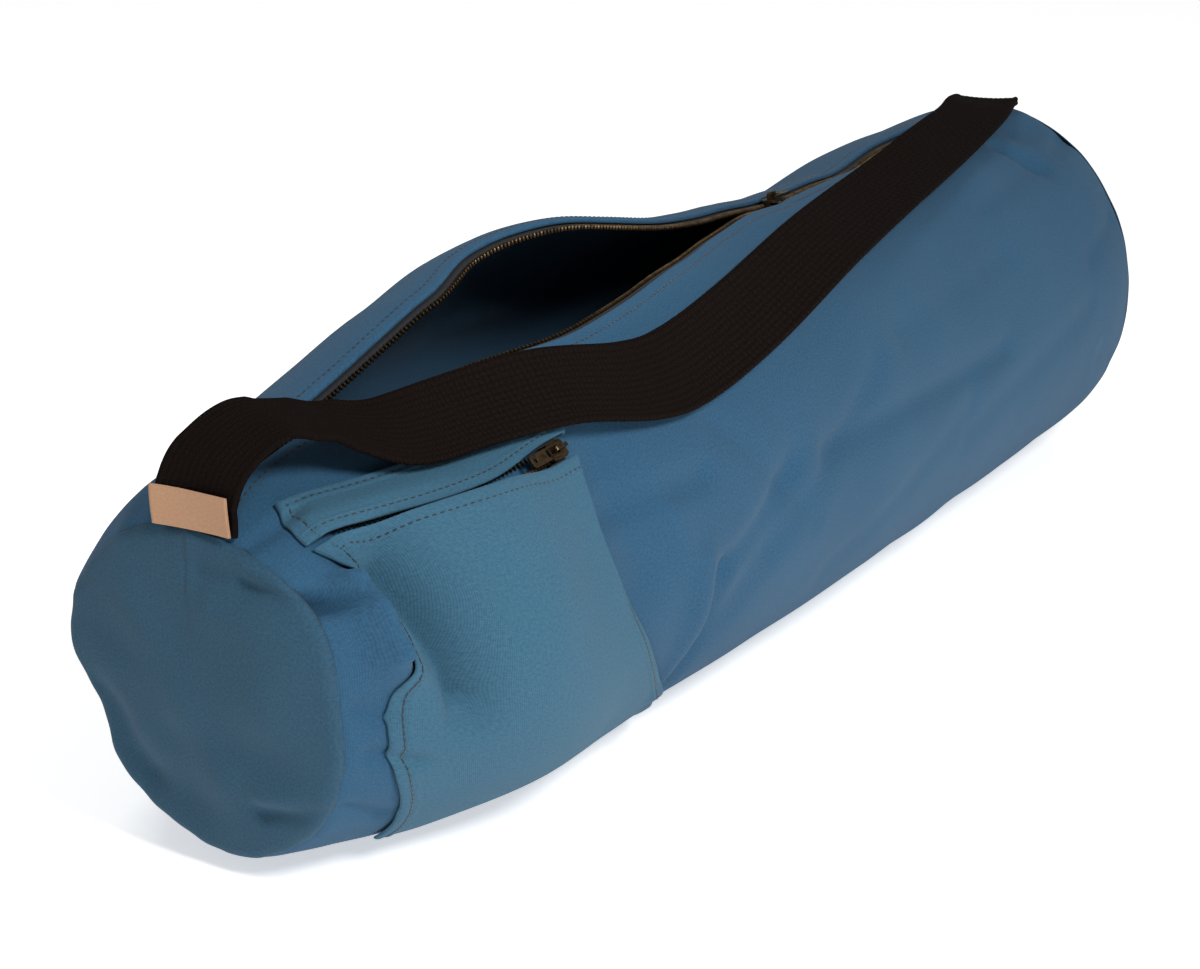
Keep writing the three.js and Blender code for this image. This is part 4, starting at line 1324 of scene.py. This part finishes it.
def lip_seam(side):
    def point(t, sideways):
        along = (2 * t - 1) * 0.985
        reach = -STITCH_LINE + side * sideways
        return lip_point(side, along, reach, 0.12)

    return point


# How deep the painted-shade thread lies in the seam groove.
SHADE_LINE_DEPTH = 1.6


def seam_shade_line(end):
    """Dark thread laid deep in the groove between the tube and a round end: painted shade for the groove's dark
    line.
    """

    def point(t, sideways):
        angle = 360 * t
        out = puckers(float(end), angle) - SHADE_LINE_DEPTH
        place = ellipse_point(float(end), angle, out)
        place[..., 0] += end * (SEAM_GAP / 2 + sideways)
        return place

    return point


# Painted shade: these dark threads stand for the shadow in the end seams' grooves.
stitch_row("near_seam_shade_line", seam_shade_line(-1), dark_thread, pitch=2.6, share=0.95)
stitch_row("far_seam_shade_line", seam_shade_line(1), dark_thread, pitch=2.6, share=0.95)
stitch_row("front_lip_stitches", lip_seam(1), dark_thread)
stitch_row("back_lip_stitches", lip_seam(-1), dark_thread)


def pocket_mouth_seam(t, sideways):
    across = 0.03 + 0.94 * t
    return panel_point(across, (POCKET_STITCH - sideways) / PANEL_HEIGHT + 0 * t, POCKET_CLOTH + 0.1)


def pocket_side_seam(edge):
    def point(t, sideways):
        inset = (EDGE_STITCH + (sideways if edge else -sideways)) / POCKET_WIDTH
        across = 1 - inset if edge else inset
        return panel_point(across + 0 * t, 0.01 + 0.98 * t, POCKET_CLOTH + 0.12)

    return point


def band_low_seam(t, sideways):
    return welt_point(0.03 + 0.94 * t, 1 - (4.6 + sideways) / WELT_HEIGHT + 0 * t, POCKET_CLOTH + 0.1)


def band_top_seam(t, sideways):
    return welt_point(0.02 + 0.96 * t, (3.4 - sideways) / WELT_HEIGHT + 0 * t, POCKET_CLOTH + 0.1)


def band_side_seam(t, sideways):
    inset = (EDGE_STITCH - sideways) / POCKET_WIDTH
    return welt_point(inset + 0 * t, 0.03 + 0.94 * t, POCKET_CLOTH + 0.12)


stitch_row("pocket_mouth_stitches", pocket_mouth_seam, dark_thread)
stitch_row("pocket_left_stitches", pocket_side_seam(0), dark_thread)
stitch_row("pocket_right_stitches", pocket_side_seam(1), dark_thread)
stitch_row("band_low_stitches", band_low_seam, dark_thread)
stitch_row("band_top_stitches", band_top_seam, dark_thread)
stitch_row("band_left_stitches", band_side_seam, dark_thread)
